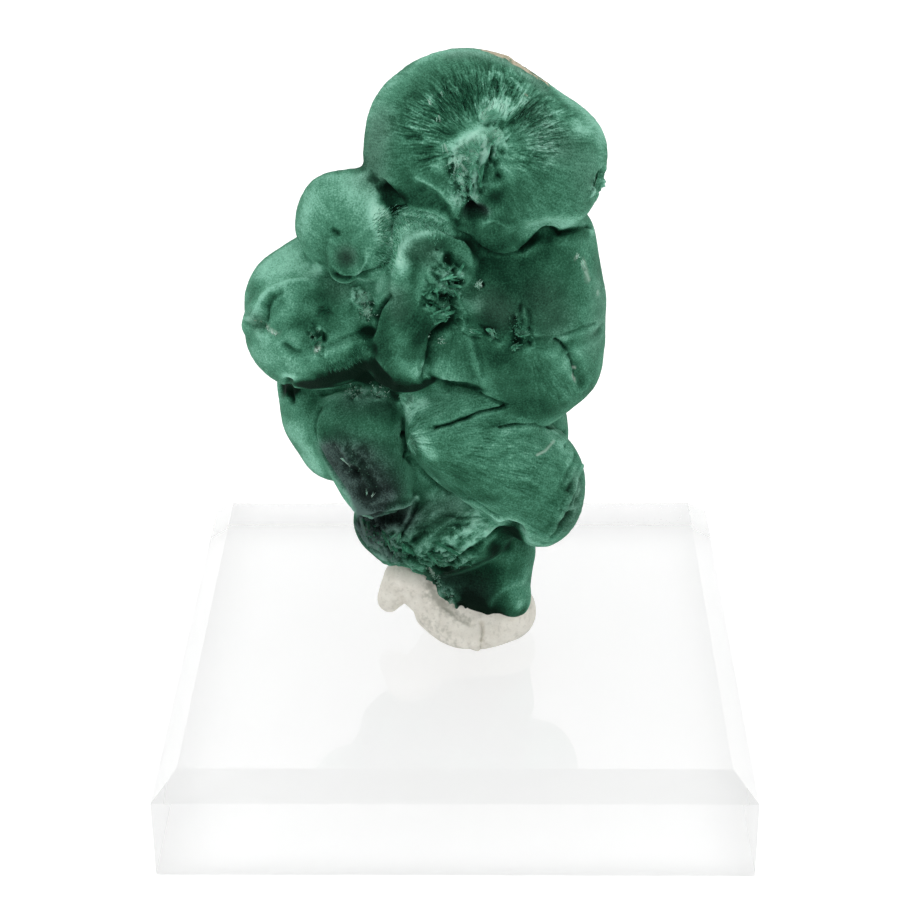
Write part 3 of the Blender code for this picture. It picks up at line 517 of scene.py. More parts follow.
# Colour laid on the stone. Each layer is painted by strokes of strength, reach, and one path or more.
PAINT = {
    # Lighter green where positive, darker where negative. Beside the stone's own zoning, many strokes are
    # painted shade in crevices, pits, cracks and under overhanging lobes, and some are painted light on rims
    # and ridges.
    "tone": [
        # Crown.
        (-0.12, 4.0, [(430, 105), (470, 85)]),
        (0.22, 2.0, [(430, 55), (480, 52), (520, 68)]),
        (0.18, 2.6, [(500, 90), (530, 85), (545, 105)]),
        (0.2, 1.8, [(555, 120), (545, 135)], [(534, 138), (548, 150)]),
        (0.25, 1.4, [(416, 120)], [(510, 150), (508, 176)]),
        (0.2, 1.0, [(430, 100)], [(450, 232), (462, 236)]),
        (0.25, 1.2, [(460, 125), (478, 114)]),
        (0.3, 1.2, [(441, 148), (438, 165)], [(478, 147), (466, 153)]),
        (0.15, 1.8, [(518, 125), (515, 145)]),
        (0.15, 1.6, [(600, 135), (592, 110)], [(424, 112), (430, 130)]),
        (0.35, 1.6, [(490, 134), (474, 142), (462, 152)]),
        (0.4, 0.7, [(498, 135), (486, 142), (472, 152), (460, 158)], [(474, 202), (478, 208)]),
        (0.4, 1.2, [(498, 106), (506, 102)]),
        (0.4, 0.5, [(484, 116), (491, 113)]),
        (0.15, 1.2, [(468, 132), (458, 142)], [(600, 112)]),
        (-0.15, 1.2, [(436, 140), (450, 138)], [(502, 158)]),
        (0.3, 0.9, [(458, 164), (461, 180)]),
        (0.25, 0.9, [(458, 192), (456, 204)]),
        (-0.1, 1.1, [(484, 156), (482, 166)]),
        (0.25, 1.8, [(470, 150), (468, 168), (466, 190)]),
        (0.25, 1.6, [(466, 146), (480, 148), (494, 144)]),
        (-0.2, 0.8, [(475, 193)]),
        (-0.15, 1.0, [(502, 148)], [(430, 152), (440, 156)]),
        (0.2, 0.9, [(445, 130), (446, 156)]),
        (0.5, 0.7, [(485, 116), (492, 112)]),
        (0.3, 0.8, [(456, 166), (460, 184)], [(524, 104)], [(487, 188), (498, 186)],
            [(488, 160), (498, 150)]),
        (-0.3, 1.1, [(496, 180), (493, 202)]),
        (0.3, 1.3, [(486, 104), (502, 112)]),
        (0.2, 1.3, [(466, 76)]),
        (0.12, 1.4, [(482, 178), (484, 196)]),
        (0.3, 1.0, [(488, 124), (478, 134)], [(506, 134)]),
        (0.25, 2.2, [(560, 92), (582, 108), (598, 124)]),
        # Painted shade in the slit.
        (-0.5, 0.4, [(466, 178), (469, 188)]),
        (-0.2, 0.9, [(513, 122), (524, 112)]),
        (0.2, 0.5, [(506, 116), (516, 106), (527, 96)]),
        (-0.1, 2.0, [(520, 128), (543, 108)]),
        # Painted highlight along the crown's lower ridge.
        (0.1, 0.25, [(418, 177), (432, 184), (444, 192), (453, 204), (458, 216)]),
        (-0.15, 1.6, [(512, 185), (505, 200), (492, 198)]),
        (-0.08, 3.6, [(575, 205), (540, 205)]),
        (0.12, 2.4, [(592, 130), (602, 150)], [(398, 78), (424, 62)]),
        (-0.25, 1.2, [(545, 104)]),
        (-0.2, 1.0, [(502, 84), (486, 93)], [(456, 208), (458, 220)]),
        (0.25, 1.3, [(528, 226), (552, 222), (575, 222)]),
        (0.12, 3.4, [(385, 120), (376, 150)]),
        (0.15, 0.8, [(485, 224), (510, 230)]),
        # Painted shade in the crevice between ear and crown, and under the crown's lower edge.
        (-0.2, 2.0, [(408, 196), (440, 208)]),
        (-0.25, 0.5, [(370, 179), (382, 190)]),
        (-0.65, 1.0, [(391, 190), (401, 198)]),
        (-0.6, 0.9, [(384, 201), (395, 209)]),
        (-0.15, 0.5, [(404, 204), (432, 205)]),
        (-0.2, 0.4, [(400, 210), (420, 214), (444, 226)]),
        (-0.3, 0.5, [(394, 210), (394, 222)]),
        (0.2, 0.8, [(366, 174), (376, 184)]),
        # Painted shade under the crown's skirt.
        (-0.35, 1.6, [(462, 224), (472, 242)]),
        (-0.2, 1.6, [(500, 226)]),
        (-0.35, 1.4, [(490, 248), (508, 244)]),
        (0.2, 1.4, [(530, 232), (548, 224)]),
        (-0.25, 1.1, [(478, 218)]),
        # Ear.
        (0.3, 2.4, [(372, 215), (350, 190)]),
        (0.4, 1.4, [(379, 205), (386, 236)]),
        (0.2, 1.6, [(360, 246), (372, 250)]),
        (0.7, 1.3, [(382, 218), (388, 238)]),
        (0.2, 1.4, [(408, 214), (430, 216)]),
        (-0.12, 1.4, [(342, 250)]),
        # Painted shade in the crease under the ear.
        (-0.25, 0.8, [(334, 275), (350, 280), (364, 276)]),
        (0.4, 1.0, [(318, 270)]),
        (0.2, 2.4, [(310, 205), (305, 225)]),
        (0.15, 1.0, [(330, 178), (358, 176)]),
        (0.12, 1.2, [(330, 212), (340, 222)]),
        (-0.4, 1.0, [(346, 260)]),
        (-0.15, 0.9, [(334, 268), (350, 274)]),
        # Painted highlight along the lower rim round the nipple.
        (0.25, 0.2, [(333, 266), (341, 273), (350, 276), (360, 272), (366, 262), (367, 250)]),
        # Left lobe.
        (0.36, 3.0, [(290, 255), (274, 278)]),
        (-0.12, 1.6, [(255, 290), (275, 290)]),
        (-0.2, 1.2, [(328, 265), (345, 278)]),
        (0.35, 1.5, [(308, 270)]),
        (0.2, 1.2, [(314, 308), (316, 322)]),
        (0.1, 1.4, [(330, 310), (344, 302)]),
        (0.15, 0.8, [(364, 324), (368, 318)]),
        (0.2, 0.8, [(318, 335)]),
        (-0.15, 1.0, [(322, 264)], [(352, 314)]),
        (-0.15, 1.4, [(300, 326)], [(300, 360)]),
        (-0.25, 1.2, [(364, 335), (350, 364)]),
        (0.15, 1.4, [(252, 276), (262, 268)], [(285, 315), (290, 300)]),
        (0.2, 1.6, [(270, 300), (262, 310)]),
        (0.15, 1.6, [(298, 342)]),
        (0.2, 1.3, [(364, 280), (370, 300)]),
        (0.3, 1.3, [(377, 286), (383, 275)]),
        (-0.15, 0.8, [(256, 312), (262, 297), (275, 287)]),
        (0.2, 3.0, [(262, 345), (290, 366)]),
        (0.2, 1.0, [(292, 343)]),
        (0.25, 1.6, [(328, 342), (346, 336)]),
        (-0.1, 1.4, [(330, 358), (352, 352)]),
        (-0.2, 1.8, [(330, 300), (320, 322)]),
        (-0.2, 1.0, [(369, 334), (372, 350)]),
        (0.2, 0.9, [(368, 324)]),
        (-0.3, 0.5, [(266, 306), (273, 296)]),
        # Middle lobe and the fan beside it.
        (0.45, 1.5, [(402, 222), (398, 240), (396, 262)]),
        (0.45, 1.6, [(415, 221), (442, 222)]),
        (0.15, 1.4, [(468, 236), (478, 240)]),
        # A faint painted highlight along the collar.
        (0.08, 0.5, [(404, 252), (412, 240), (424, 234), (437, 233), (449, 236), (457, 243), (464, 252)]),
        (0.3, 0.8, [(406, 262), (408, 284)], [(288, 377), (310, 378)]),
        (0.15, 1.2, [(418, 254), (420, 264)]),
        (-0.12, 1.2, [(434, 276)]),
        (-0.4, 0.9, [(464, 281)]),
        (-0.3, 1.2, [(462, 240), (472, 258)]),
        (-0.3, 1.4, [(422, 340), (444, 328)]),
        (-0.15, 1.8, [(412, 318), (426, 324), (446, 326)]),
        (-0.3, 0.7, [(438, 332)]),
        (-0.2, 0.9, [(400, 262)]),
        # Painted shade under the middle lobe, at the top of the lower lobes.
        (-0.2, 1.6, [(376, 356), (392, 372), (410, 380)]),
        (-0.7, 0.6, [(426, 380), (432, 378)]),
        (-0.45, 0.6, [(398, 398)]),
        (0.25, 0.8, [(460, 386), (470, 386)]),
        (-0.5, 1.2, [(394, 392)]),
        (0.4, 0.5, [(425, 366), (426, 376)]),
        (-0.2, 0.8, [(412, 254), (422, 245), (438, 242), (450, 247)]),
        # Painted shade in the dark pocket.
        (-0.6, 0.8, [(450, 258)]),
        (0.25, 0.5, [(460, 274)]),
        (0.15, 0.6, [(442, 283)]),
        (0.15, 0.3, [(442, 277), (457, 266)]),
        # Painted shade in two holes.
        (-0.45, 0.5, [(461, 284)]),
        (-0.5, 0.5, [(460, 303)]),
        # Painted shade in the gap between the left lobe and the dome.
        (-0.3, 2.0, [(378, 312), (380, 346)]),
        (-0.12, 3.0, [(396, 330), (398, 350)]),
        (-0.25, 2.0, [(424, 330), (424, 350)]),
        (-0.2, 2.0, [(448, 300)]),
        (0.35, 1.3, [(470, 292), (474, 306)]),
        (-0.12, 1.6, [(462, 358), (474, 370)]),
        # Painted shade in the channel.
        (-0.5, 0.9, [(443, 330), (455, 322)]),
        (0.1, 1.0, [(402, 365), (414, 376)]),
        (-0.1, 2.2, [(450, 352), (462, 366)]),
        # Painted shade in the deep band under the upper lobes.
        (-0.6, 1.1, [(300, 386), (330, 381), (350, 376), (370, 364), (384, 380), (402, 390), (418, 388)]),
        (-0.7, 1.8, [(310, 383), (340, 377), (365, 372), (382, 378), (400, 386), (420, 388)]),
        (-0.8, 1.3, [(340, 370), (365, 376), (385, 386), (400, 392), (414, 390)]),
        (-0.35, 0.9, [(426, 378), (446, 384), (467, 388), (480, 389)]),
        # Flank.
        (-0.3, 2.6, [(492, 262), (510, 275)]),
        (-0.1, 3.6, [(530, 280), (555, 250)]),
        (-0.12, 4.0, [(560, 290), (545, 320)]),
        (-0.15, 3.0, [(490, 305)]),
        (-0.2, 1.6, [(488, 322), (500, 326)]),
        (-0.25, 1.6, [(490, 356), (512, 350)]),
        (-0.1, 1.6, [(506, 366)]),
        (0.25, 0.8, [(530, 337)], [(523, 338)]),
        (-0.15, 2.4, [(578, 372), (590, 392)]),
        (-0.2, 1.0, [(486, 333)]),
        (-0.3, 0.9, [(520, 324)]),
        (0.3, 0.9, [(500, 345)]),
        (-0.3, 0.8, [(514, 348)]),
        (-0.5, 0.7, [(490, 331)]),
        (-0.15, 1.6, [(490, 434)]),
        (0.2, 0.8, [(566, 358), (574, 374)]),
        (0.2, 1.2, [(562, 345)]),
        (0.15, 0.6, [(522, 244), (540, 232), (560, 227), (584, 223)]),
        # Painted shade under the crown's edge.
        (-0.4, 0.8, [(522, 246), (536, 241), (550, 237), (568, 235), (586, 233)]),
        (-0.15, 1.2, [(526, 260), (546, 254), (570, 254)]),
        (0.1, 2.2, [(515, 276)]),
        (-0.12, 3.0, [(520, 395), (550, 408)]),
        (-0.15, 0.9, [(562, 358), (570, 345)]),
        (0.2, 0.9, [(522, 336)]),
        # Right foot.
        (0.4, 1.3, [(407, 398), (410, 412), (420, 404)]),
        (0.35, 1.3, [(420, 438), (430, 452)]),
        (0.2, 0.8, [(411, 456), (422, 468), (436, 480)]),
        (0.1, 1.4, [(408, 420), (430, 420)]),
        (-0.12, 2.0, [(484, 370), (516, 372)]),
        (0.1, 2.4, [(520, 434), (556, 440)]),
        (0.3, 0.8, [(566, 482)]),
        (-0.15, 2.2, [(510, 406), (550, 412)]),
        (-0.1, 4.5, [(470, 485), (540, 500)]),
        (-0.2, 1.2, [(430, 488)]),
        (-0.2, 1.4, [(568, 500)]),
        (0.25, 1.6, [(462, 508), (474, 512)]),
        (0.2, 1.3, [(512, 520)]),
        (0.08, 2.4, [(460, 442), (482, 450)]),
        (-0.08, 3.0, [(525, 440), (540, 450)]),
        (0.1, 1.6, [(440, 405), (430, 398)]),
        (-0.2, 1.6, [(480, 405), (500, 408)]),
        (0.15, 0.7, [(550, 545), (520, 535), (495, 515)]),
        (-0.2, 1.0, [(560, 468), (570, 490)]),
        # Left of the bottom.
        (0.3, 2.2, [(292, 430), (312, 462)]),
        (-0.3, 1.4, [(296, 395), (306, 402)]),
        (-0.25, 1.6, [(378, 405), (390, 415)]),
        (0.1, 2.4, [(335, 405), (352, 415)]),
        (0.35, 1.4, [(330, 393), (346, 391), (378, 396)]),
        (0.2, 1.2, [(302, 402)]),
        # Painted shade at the top of the back lobe and in the crease under the left lobe.
        (-0.9, 1.1, [(280, 387), (290, 389)]),
        (-0.5, 0.6, [(296, 389), (312, 388), (330, 386), (350, 382), (366, 380)]),
        (0.4, 1.1, [(376, 500), (390, 498)]),
        (-0.4, 0.8, [(367, 513)]),
        (0.25, 1.0, [(402, 524), (414, 502)]),
        (-0.15, 1.4, [(322, 432)]),
        (0.25, 0.8, [(362, 373), (372, 374)]),
        (-0.2, 0.8, [(340, 369), (354, 364)]),
        (-0.12, 2.6, [(325, 425), (365, 428)]),
        (-0.2, 2.4, [(288, 420), (296, 446)]),
        (0.2, 1.4, [(322, 448), (350, 448)]),
        (-0.15, 1.8, [(384, 446), (392, 466), (396, 488)]),
        (-0.25, 1.0, [(368, 474), (370, 492)], [(402, 504), (424, 510)]),
        (0.3, 0.8, [(348, 494), (358, 506), (376, 506)]),
        (0.3, 1.0, [(360, 524), (372, 544), (386, 556)]),
        (-0.2, 3.0, [(340, 456), (366, 470), (376, 495)]),
        (-0.3, 1.2, [(372, 496), (374, 514)]),
        (-0.2, 1.2, [(366, 494), (398, 508)]),
        (0.4, 0.35, [(367, 509), (397, 505), (417, 497)]),
        # Bottom and foot.
        (-0.2, 1.6, [(455, 492), (490, 498)]),
        (-0.15, 1.2, [(438, 524), (466, 522)]),
        (0.12, 1.3, [(425, 545), (455, 540), (490, 528)]),
        (-0.2, 2.6, [(412, 520), (418, 556), (446, 530)]),
        (0.1, 1.4, [(372, 530), (386, 550)]),
        # Painted shade in the cave beside the foot.
        (-0.8, 1.2, [(510, 533), (518, 539)]),
        (-0.3, 1.0, [(508, 546)]),
        (0.3, 0.8, [(424, 570), (436, 572)], [(520, 606)]),
        (0.25, 0.8, [(378, 556), (392, 560)]),
        (-0.2, 1.0, [(460, 546)]),
        (-0.2, 1.4, [(548, 530), (568, 522)]),
        # Painted shade on the foot's top, under the bottom lobe.
        (-0.5, 1.6, [(480, 552), (505, 546)]),
        (-0.45, 3.0, [(440, 576), (480, 582)]),
        (-0.3, 3.0, [(486, 600), (520, 560)]),
        (-0.5, 1.2, [(436, 572), (470, 566), (496, 554)]),
        (0.2, 1.2, [(484, 590), (506, 582), (526, 574)]),
        (-0.6, 1.2, [(462, 604), (478, 612), (500, 618)]),
        (0.1, 0.9, [(492, 602), (504, 592), (520, 586)]),
        (-0.2, 1.2, [(508, 602)]),
        (-0.4, 1.4, [(466, 598), (490, 612), (520, 612)]),
    ],
    # How strongly the fibres show, over and above each lobe's own.
    "comb": [
        (1.4, 2.6, [(428, 122), (455, 100), (480, 90), (515, 105), (545, 130)]),
        (1.0, 1.8, [(430, 154), (545, 160)]),
        (0.7, 3.6, [(410, 120), (480, 75), (560, 120)]),
        (0.6, 1.3, [(380, 232), (384, 258)]),
        (0.6, 1.4, [(402, 222), (398, 245), (396, 262)]),
        (0.5, 1.4, [(425, 222), (452, 236)]),
        (0.6, 1.0, [(330, 366), (356, 356)]),
        (0.4, 2.6, [(540, 370), (565, 395)]),
        (0.7, 1.4, [(410, 402), (424, 444)]),
        (0.45, 3.4, [(490, 450), (530, 470)]),
        (0.6, 1.6, [(440, 540), (490, 515)]),
        (0.4, 1.6, [(450, 375), (475, 380)]),
    ],
    # A grey, brownish bloom.
    "veil": [
        (0.6, 2.4, [(490, 305), (500, 312)]),
        (0.4, 3.0, [(545, 300), (555, 320)]),
        (0.8, 1.4, [(347, 256)]),
        (0.35, 2.0, [(430, 252), (415, 250)]),
        (0.4, 1.8, [(396, 296), (398, 310)], [(455, 54), (500, 58), (540, 85)]),
        (0.3, 2.0, [(338, 288)]),
        (0.3, 3.0, [(535, 118), (550, 140)]),
        (0.45, 3.2, [(378, 130), (374, 170)]),
        (0.3, 3.4, [(602, 290), (600, 330)]),
        (0.4, 1.4, [(256, 321)]),
        (0.5, 2.6, [(572, 520), (578, 490)]),
        (0.3, 3.2, [(450, 512), (420, 520)]),
        (0.2, 3.0, [(575, 150), (590, 180)]),
    ],
    # The purple-black of the velvety low lobes and the foot, and painted shade in the crown's hole and the
    # cave beside the foot.
    "soot_and_shade": [
        (0.95, 2.0, [(328, 452), (342, 474), (356, 494), (368, 508)]),
        (0.8, 3.2, [(345, 462), (362, 478), (376, 498)]),
        (0.35, 2.0, [(340, 438), (360, 446)]),
        (0.5, 2.4, [(376, 456), (390, 478), (396, 496)]),
        (0.95, 2.6, [(362, 520), (384, 522), (402, 517)]),
        (0.85, 2.4, [(366, 534), (374, 546), (390, 554)]),
        (0.3, 2.0, [(430, 512), (450, 506)], [(350, 402), (385, 404)]),
        # Painted shade in the hole below the crown.
        (0.95, 0.9, [(470, 213), (484, 213)]),
        # The dark foot, partly painted shade under the overhang.
        (0.6, 3.0, [(446, 580), (475, 592)]),
        # Painted shade in the cave beside the foot.
        (0.5, 1.4, [(515, 530)]),
    ],
    # Bare whitish mineral, and painted glints: white on small crystals where they sparkle.
    "chalk_and_glint": [
        (0.4, 0.25, [(499, 134), (490, 139)]),
        (0.4, 0.3, [(485, 115), (490, 112)]),
        (0.7, 0.2, [(264, 327), (271, 330), (277, 334)]),
        (0.8, 0.22, [(316, 350), (319, 348)], [(577, 256)], [(577, 370)]),
        (0.6, 0.16, [(537, 455), (545, 451), (554, 441)]),
        (0.5, 0.3, [(584, 262), (586, 272), (589, 280)]),
        (0.6, 0.2, [(573, 376), (576, 381)]),
        (0.6, 0.3, [(598, 293)]),
        (0.7, 0.3, [(431, 571), (434, 576)]),
        (0.7, 0.35, [(452, 602), (458, 608), (464, 613)]),
    ],
    # The pale brown bed that the cluster grew on.
    "bed": [
        (1.0, 1.5,
            [(3.2, 1.5, 63.7), (4.5, 1.3, 63.2), (5.4, 1.1, 62.8), (6.2, 0.9, 62.2), (7.1, 0.5, 61.5)]),
        (0.35, 0.6, [(524, 98), (530, 93)]),
        (1.0, 2.6, [(4.4, 2.2, 63.0), (4.4, 4.0, 62.2), (5.2, 5.6, 60.8)]),
        (0.35, 0.5, [(253, 320), (259, 322)]),
        (0.8, 3.6, [(-1.4, 9.0, 43.0), (1.6, 9.0, 38.6)]),
    ],
    # Broken crystal: sparkling, coarse, without combed fibres.
    "druse": [
        (1.0, 2.4, [(478, 152), (464, 170), (468, 190)]),
        (1.0, 1.9, [(449, 280), (446, 305)]),
        (0.8, 1.1, [(363, 302)]),
        (0.7, 0.9, [(318, 338)]),
        (0.8, 0.9, [(521, 333)]),
        (0.8, 0.7, [(480, 284)]),
        (0.8, 1.0, [(602, 184)]),
        (0.9, 3.8, [(380, 530), (410, 552), (450, 560)]),
        (0.6, 3.0, [(352, 462), (372, 490)]),
        (0.9, 1.0, [(353, 392), (380, 393)]),
        (0.9, 1.4, [(430, 578), (456, 605)]),
        (0.7, 5.0, [(-1.4, 9.0, 43.0), (1.6, 9.0, 38.6)]),
    ],
}

# Sprays of broken needles. Each has its root, the point it heads for (None for all ways round), its spread
# and rise in degrees, and its needles' number, length, width, tone and whiteness, which is partly painted
# glints.
SPRAYS = [
    ((486, 119), (504, 104), 44, 9, 300, 1.9, 0.06, 0.44, 0.0),
    ((486, 119), (494, 103), 60, 10, 240, 1.3, 0.06, 0.47, 0.05),
    ((485, 119), (484, 110), 60, 16, 90, 0.7, 0.10, 0.55, 0.4),
    ((492, 142), (476, 124), 44, 6, 260, 1.7, 0.055, 0.36, 0.0),
    ((480, 148), (462, 128), 44, 6, 300, 1.9, 0.055, 0.36, 0.0),
    ((468, 154), (446, 142), 50, 7, 260, 1.6, 0.055, 0.34, 0.0),
    ((490, 150), (476, 140), 60, 9, 160, 1.1, 0.055, 0.5, 0.1),
    ((474, 158), (458, 156), 60, 9, 160, 1.1, 0.055, 0.46, 0.05),
    ((472, 166), (462, 178), 50, 9, 160, 1.3, 0.055, 0.32, 0.0),
    ((470, 182), (460, 196), 50, 9, 160, 1.3, 0.055, 0.3, 0.0),
    ((492, 137), (488, 126), 40, 14, 60, 0.8, 0.09, 0.45, 0.2),
    ((497, 135), (509, 134), 50, 14, 60, 0.8, 0.08, 0.4, 0.2),
    ((498, 136), (484, 142), 14, 8, 30, 1.0, 0.10, 0.6, 0.4),
    ((464, 164), (448, 182), 50, 10, 90, 1.3, 0.12, 0.2, 0.0),
    ((457, 160), (464, 188), 6, 5, 30, 2.4, 0.06, 0.6, 0.35),
    ((461, 166), (467, 188), 6, 6, 14, 1.6, 0.06, 0.6, 0.3),
    ((445, 146), (448, 158), 10, 4, 7, 1.0, 0.05, 0.5, 0.6),
    ((438, 118), (443, 134), 10, 4, 6, 0.9, 0.04, 0.45, 0.5),
    ((431, 103), (428, 96), 20, 4, 8, 0.7, 0.05, 0.45, 0.5),
    ((441, 92), (443, 98), 10, 4, 4, 0.6, 0.05, 0.45, 0.5),
    ((474, 198), (478, 212), 30, 16, 14, 0.8, 0.08, 0.35, 0.2),
    ((323, 312), None, 180, 4, 50, 1.3, 0.05, -0.2, 0.0),
    ((362, 297), None, 180, 20, 110, 0.9, 0.06, 0.3, 0.2),
    ((367, 312), None, 180, 16, 80, 0.8, 0.06, 0.3, 0.3),
    ((446, 320), (430, 302), 60, 8, 120, 1.5, 0.10, 0.1, 0.0),
    ((436, 322), (428, 308), 50, 8, 60, 1.0, 0.08, 0.1, 0.0),
    ((479, 284), None, 180, 14, 60, 0.5, 0.05, 0.4, 0.6),
    ((522, 338), (523, 318), 50, 12, 80, 1.1, 0.10, 0.2, 0.05),
    ((514, 347), (526, 342), 25, 7, 20, 1.0, 0.08, 0.2, 0.1),
    ((472, 330), (484, 332), 24, 8, 14, 0.9, 0.07, 0.25, 0.1),
    ((492, 331), (498, 340), 24, 8, 14, 0.9, 0.07, 0.25, 0.1),
    ((583, 262), (589, 283), 20, 10, 24, 0.9, 0.05, 0.4, 0.5),
    ((404, 396), (420, 402), 60, 7, 240, 1.3, 0.06, 0.25, 0.05),
    ((412, 442), (430, 447), 70, 9, 220, 1.5, 0.06, 0.25, 0.05),
    ((344, 460), (356, 466), 30, 10, 12, 1.0, 0.06, 0.3, 0.4),
    ((370, 494), (372, 484), 30, 10, 8, 0.8, 0.06, 0.3, 0.4),
    ((398, 536), (392, 548), 30, 8, 60, 1.2, 0.08, 0.15, 0.05),
    ((440, 562), (452, 556), 60, 10, 60, 0.9, 0.08, 0.15, 0.05),
]

# Broken blades: root, tip, how many side by side, width, rise in degrees and tone.
BLADES = [
    ((440, 278), (457, 266), 2, 0.45, 8, 0.3),
    ((455, 277), (466, 273), 3, 1.0, 10, 0.25),
    ((438, 286), (450, 279), 3, 1.0, 8, 0.15),
    ((450, 286), (465, 296), 2, 0.6, 10, 0.15),
    ((446, 270), (452, 282), 2, 0.7, 8, 0.05),
    ((428, 292), (442, 290), 3, 0.6, 6, 0.05),
    ((432, 306), (450, 300), 3, 0.6, 10, 0.1),
    ((436, 316), (454, 308), 4, 0.5, 10, 0.1),
    ((474, 330), (484, 334), 2, 0.4, 10, 0.1),
    ((489, 330), (497, 340), 2, 0.4, 10, 0.1),
    ((478, 166), (472, 184), 3, 0.6, 10, 0.05),
    ((518, 338), (526, 330), 3, 0.5, 8, 0.15),
    ((514, 347), (528, 342), 2, 0.4, 6, 0.15),
    ((600, 178), (602, 188), 2, 0.5, 4, 0.1),
    ((314, 342), (319, 332), 3, 0.4, 8, 0.1),
    ((384, 536), (398, 548), 3, 0.7, 6, -0.1),
    ((404, 548), (422, 558), 3, 0.7, 6, -0.05),
    ((426, 552), (446, 562), 3, 0.7, 8, 0.0),
    ((440, 545), (462, 552), 3, 0.6, 6, 0.0),
    ((366, 522), (378, 536), 3, 0.7, 6, -0.2),
]

# Crusts of small crystals: a path, its reach, and the crystals' number, length, width, tone and whiteness,
# which is partly painted glints.
CRUSTS = [
    ([(362, 296), (369, 316)], 0.8, 90, 0.25, 0.08, 0.25, 0.2),
    ([(314, 332), (319, 346)], 0.5, 50, 0.25, 0.10, 0.1, 0.1),
    ([(316, 349), (319, 350)], 0.15, 8, 0.3, 0.12, 0.4, 0.9),
    ([(266, 328), (276, 334)], 0.2, 16, 0.2, 0.08, 0.3, 0.7),
    ([(576, 255), (578, 257)], 0.2, 8, 0.25, 0.10, 0.4, 0.8),
    ([(348, 391), (358, 393)], 0.6, 50, 0.18, 0.08, 0.3, 0.5),
    ([(374, 389), (388, 393)], 0.6, 50, 0.18, 0.08, 0.25, 0.4),
    ([(344, 448), (356, 464), (372, 488)], 1.1, 40, 0.16, 0.07, -0.1, 0.15),
    ([(372, 530), (395, 548), (430, 560), (462, 562)], 1.4, 300, 0.25, 0.12, 0.0, 0.0),
    ([(498, 135), (482, 143), (462, 156)], 0.7, 360, 0.22, 0.09, 0.5, 0.25),
    ([(484, 115), (490, 112)], 0.4, 120, 0.25, 0.08, 0.55, 0.5),
    ([(466, 160), (460, 178), (462, 200)], 1.1, 360, 0.22, 0.09, 0.3, 0.0),
    ([(450, 270), (446, 290), (448, 312)], 1.5, 360, 0.2, 0.09, 0.1, 0.0),
    ([(436, 338), (444, 344)], 0.3, 30, 0.2, 0.09, 0.35, 0.3),
    ([(518, 322), (524, 342)], 0.9, 160, 0.2, 0.08, 0.1, 0.0),
    ([(430, 570), (440, 586), (456, 604), (466, 614)], 0.4, 120, 0.25, 0.10, 0.1, 0.3),
]

# Fringes of velvet, whose fibres lie along the lobe's own: as a crust, with the rise instead of whiteness.
FRINGES = [
    ([(400, 219), (420, 220), (440, 228)], 1.2, 1100, 0.45, 0.05, 0.3, 11),
    ([(398, 225), (394, 245), (392, 265)], 1.0, 900, 0.45, 0.05, 0.3, 11),
    ([(384, 218), (387, 235), (382, 262)], 1.2, 1000, 0.45, 0.05, 0.27, 11),
    ([(330, 366), (350, 360), (362, 345)], 0.7, 500, 0.5, 0.045, 0.05, 12),
    ([(440, 112), (465, 98), (490, 96)], 2.2, 500, 0.7, 0.05, -0.02, 4),
    ([(520, 112), (545, 135), (540, 160)], 2.0, 300, 0.7, 0.05, 0.0, 4),
]

# Putty: folds, thumb marks and the seam where its two ends meet. Same entries as the stone's fine relief.
PUTTY_RELIEF = [
    ("sharp", -0.5, 0.3, [(481, 622), (482, 631), (481, 640), (480, 648)]),
    ("sharp", -0.25, 0.25, [(481, 640), (486, 645), (492, 647)]),
    ("cliff", 0.25, 1.1, [(480, 648), (481, 640), (482, 631), (481, 622)]),
    ("soft", -0.3, 0.9, [(396, 588), (410, 594)]),
    ("sharp", -0.2, 0.35, [(400, 598), (412, 592), (428, 594)]),
    ("soft", 0.1, 0.8, [(384, 602)]),
    ("soft", -0.25, 1.8, [(436, 622)]),
    ("soft", -0.2, 1.6, [(506, 634)]),
    ("sharp", -0.15, 0.3, [(444, 606), (458, 618), (472, 625)]),
]
# Darker strokes on the putty: along the stone's foot, in the seam and a fold, and along its lower edge on the
# block.
PUTTY_DARKENING = [
    (0.7, 0.6, [(428, 584), (440, 602), (454, 614), (468, 622)]),
    (0.35, 1.3, [(430, 596), (450, 612)]),
    (0.3, 0.2, [(481, 624), (482, 636), (481, 646)]),
    (0.2, 0.5, [(396, 588), (410, 594)]),
    (0.3, 1.6, [(420, 626), (450, 643), (490, 648), (522, 636)]),
]


# ---------------------------------------------------------------------------------------------------------
# Camera, and places read through it.

def make_camera():
    ahead = Vector((math.sin(YAW) * math.cos(PITCH), math.cos(YAW) * math.cos(PITCH), -math.sin(PITCH)))
    level = Vector((math.cos(YAW), -math.sin(YAW), 0.0))
    above = level.cross(ahead)
    right = level * math.cos(ROLL) + above * math.sin(ROLL)
    up = above * math.cos(ROLL) - level * math.sin(ROLL)
    data = bpy.data.cameras.new("camera")
    data.sensor_width = SENSOR
    data.lens = SENSOR * FOCAL / IMAGE
    data.clip_start = 0.001
    data.clip_end = 10.0
    camera = bpy.data.objects.new("camera", data)
    bpy.context.scene.collection.objects.link(camera)
    turn = Matrix((right, up, -ahead)).transposed().to_4x4()
    camera.matrix_world = Matrix.Translation(CAMERA_PLACE) @ turn
    bpy.context.scene.camera = camera
    return camera


def sight(camera, pixel):
    """The direction in which the camera sees a pixel of the photograph."""
    across, down = ((value - IMAGE / 2) / FOCAL for value in pixel)
    return (camera.matrix_world.to_3x3() @ Vector((across, -down, -1.0))).normalized()


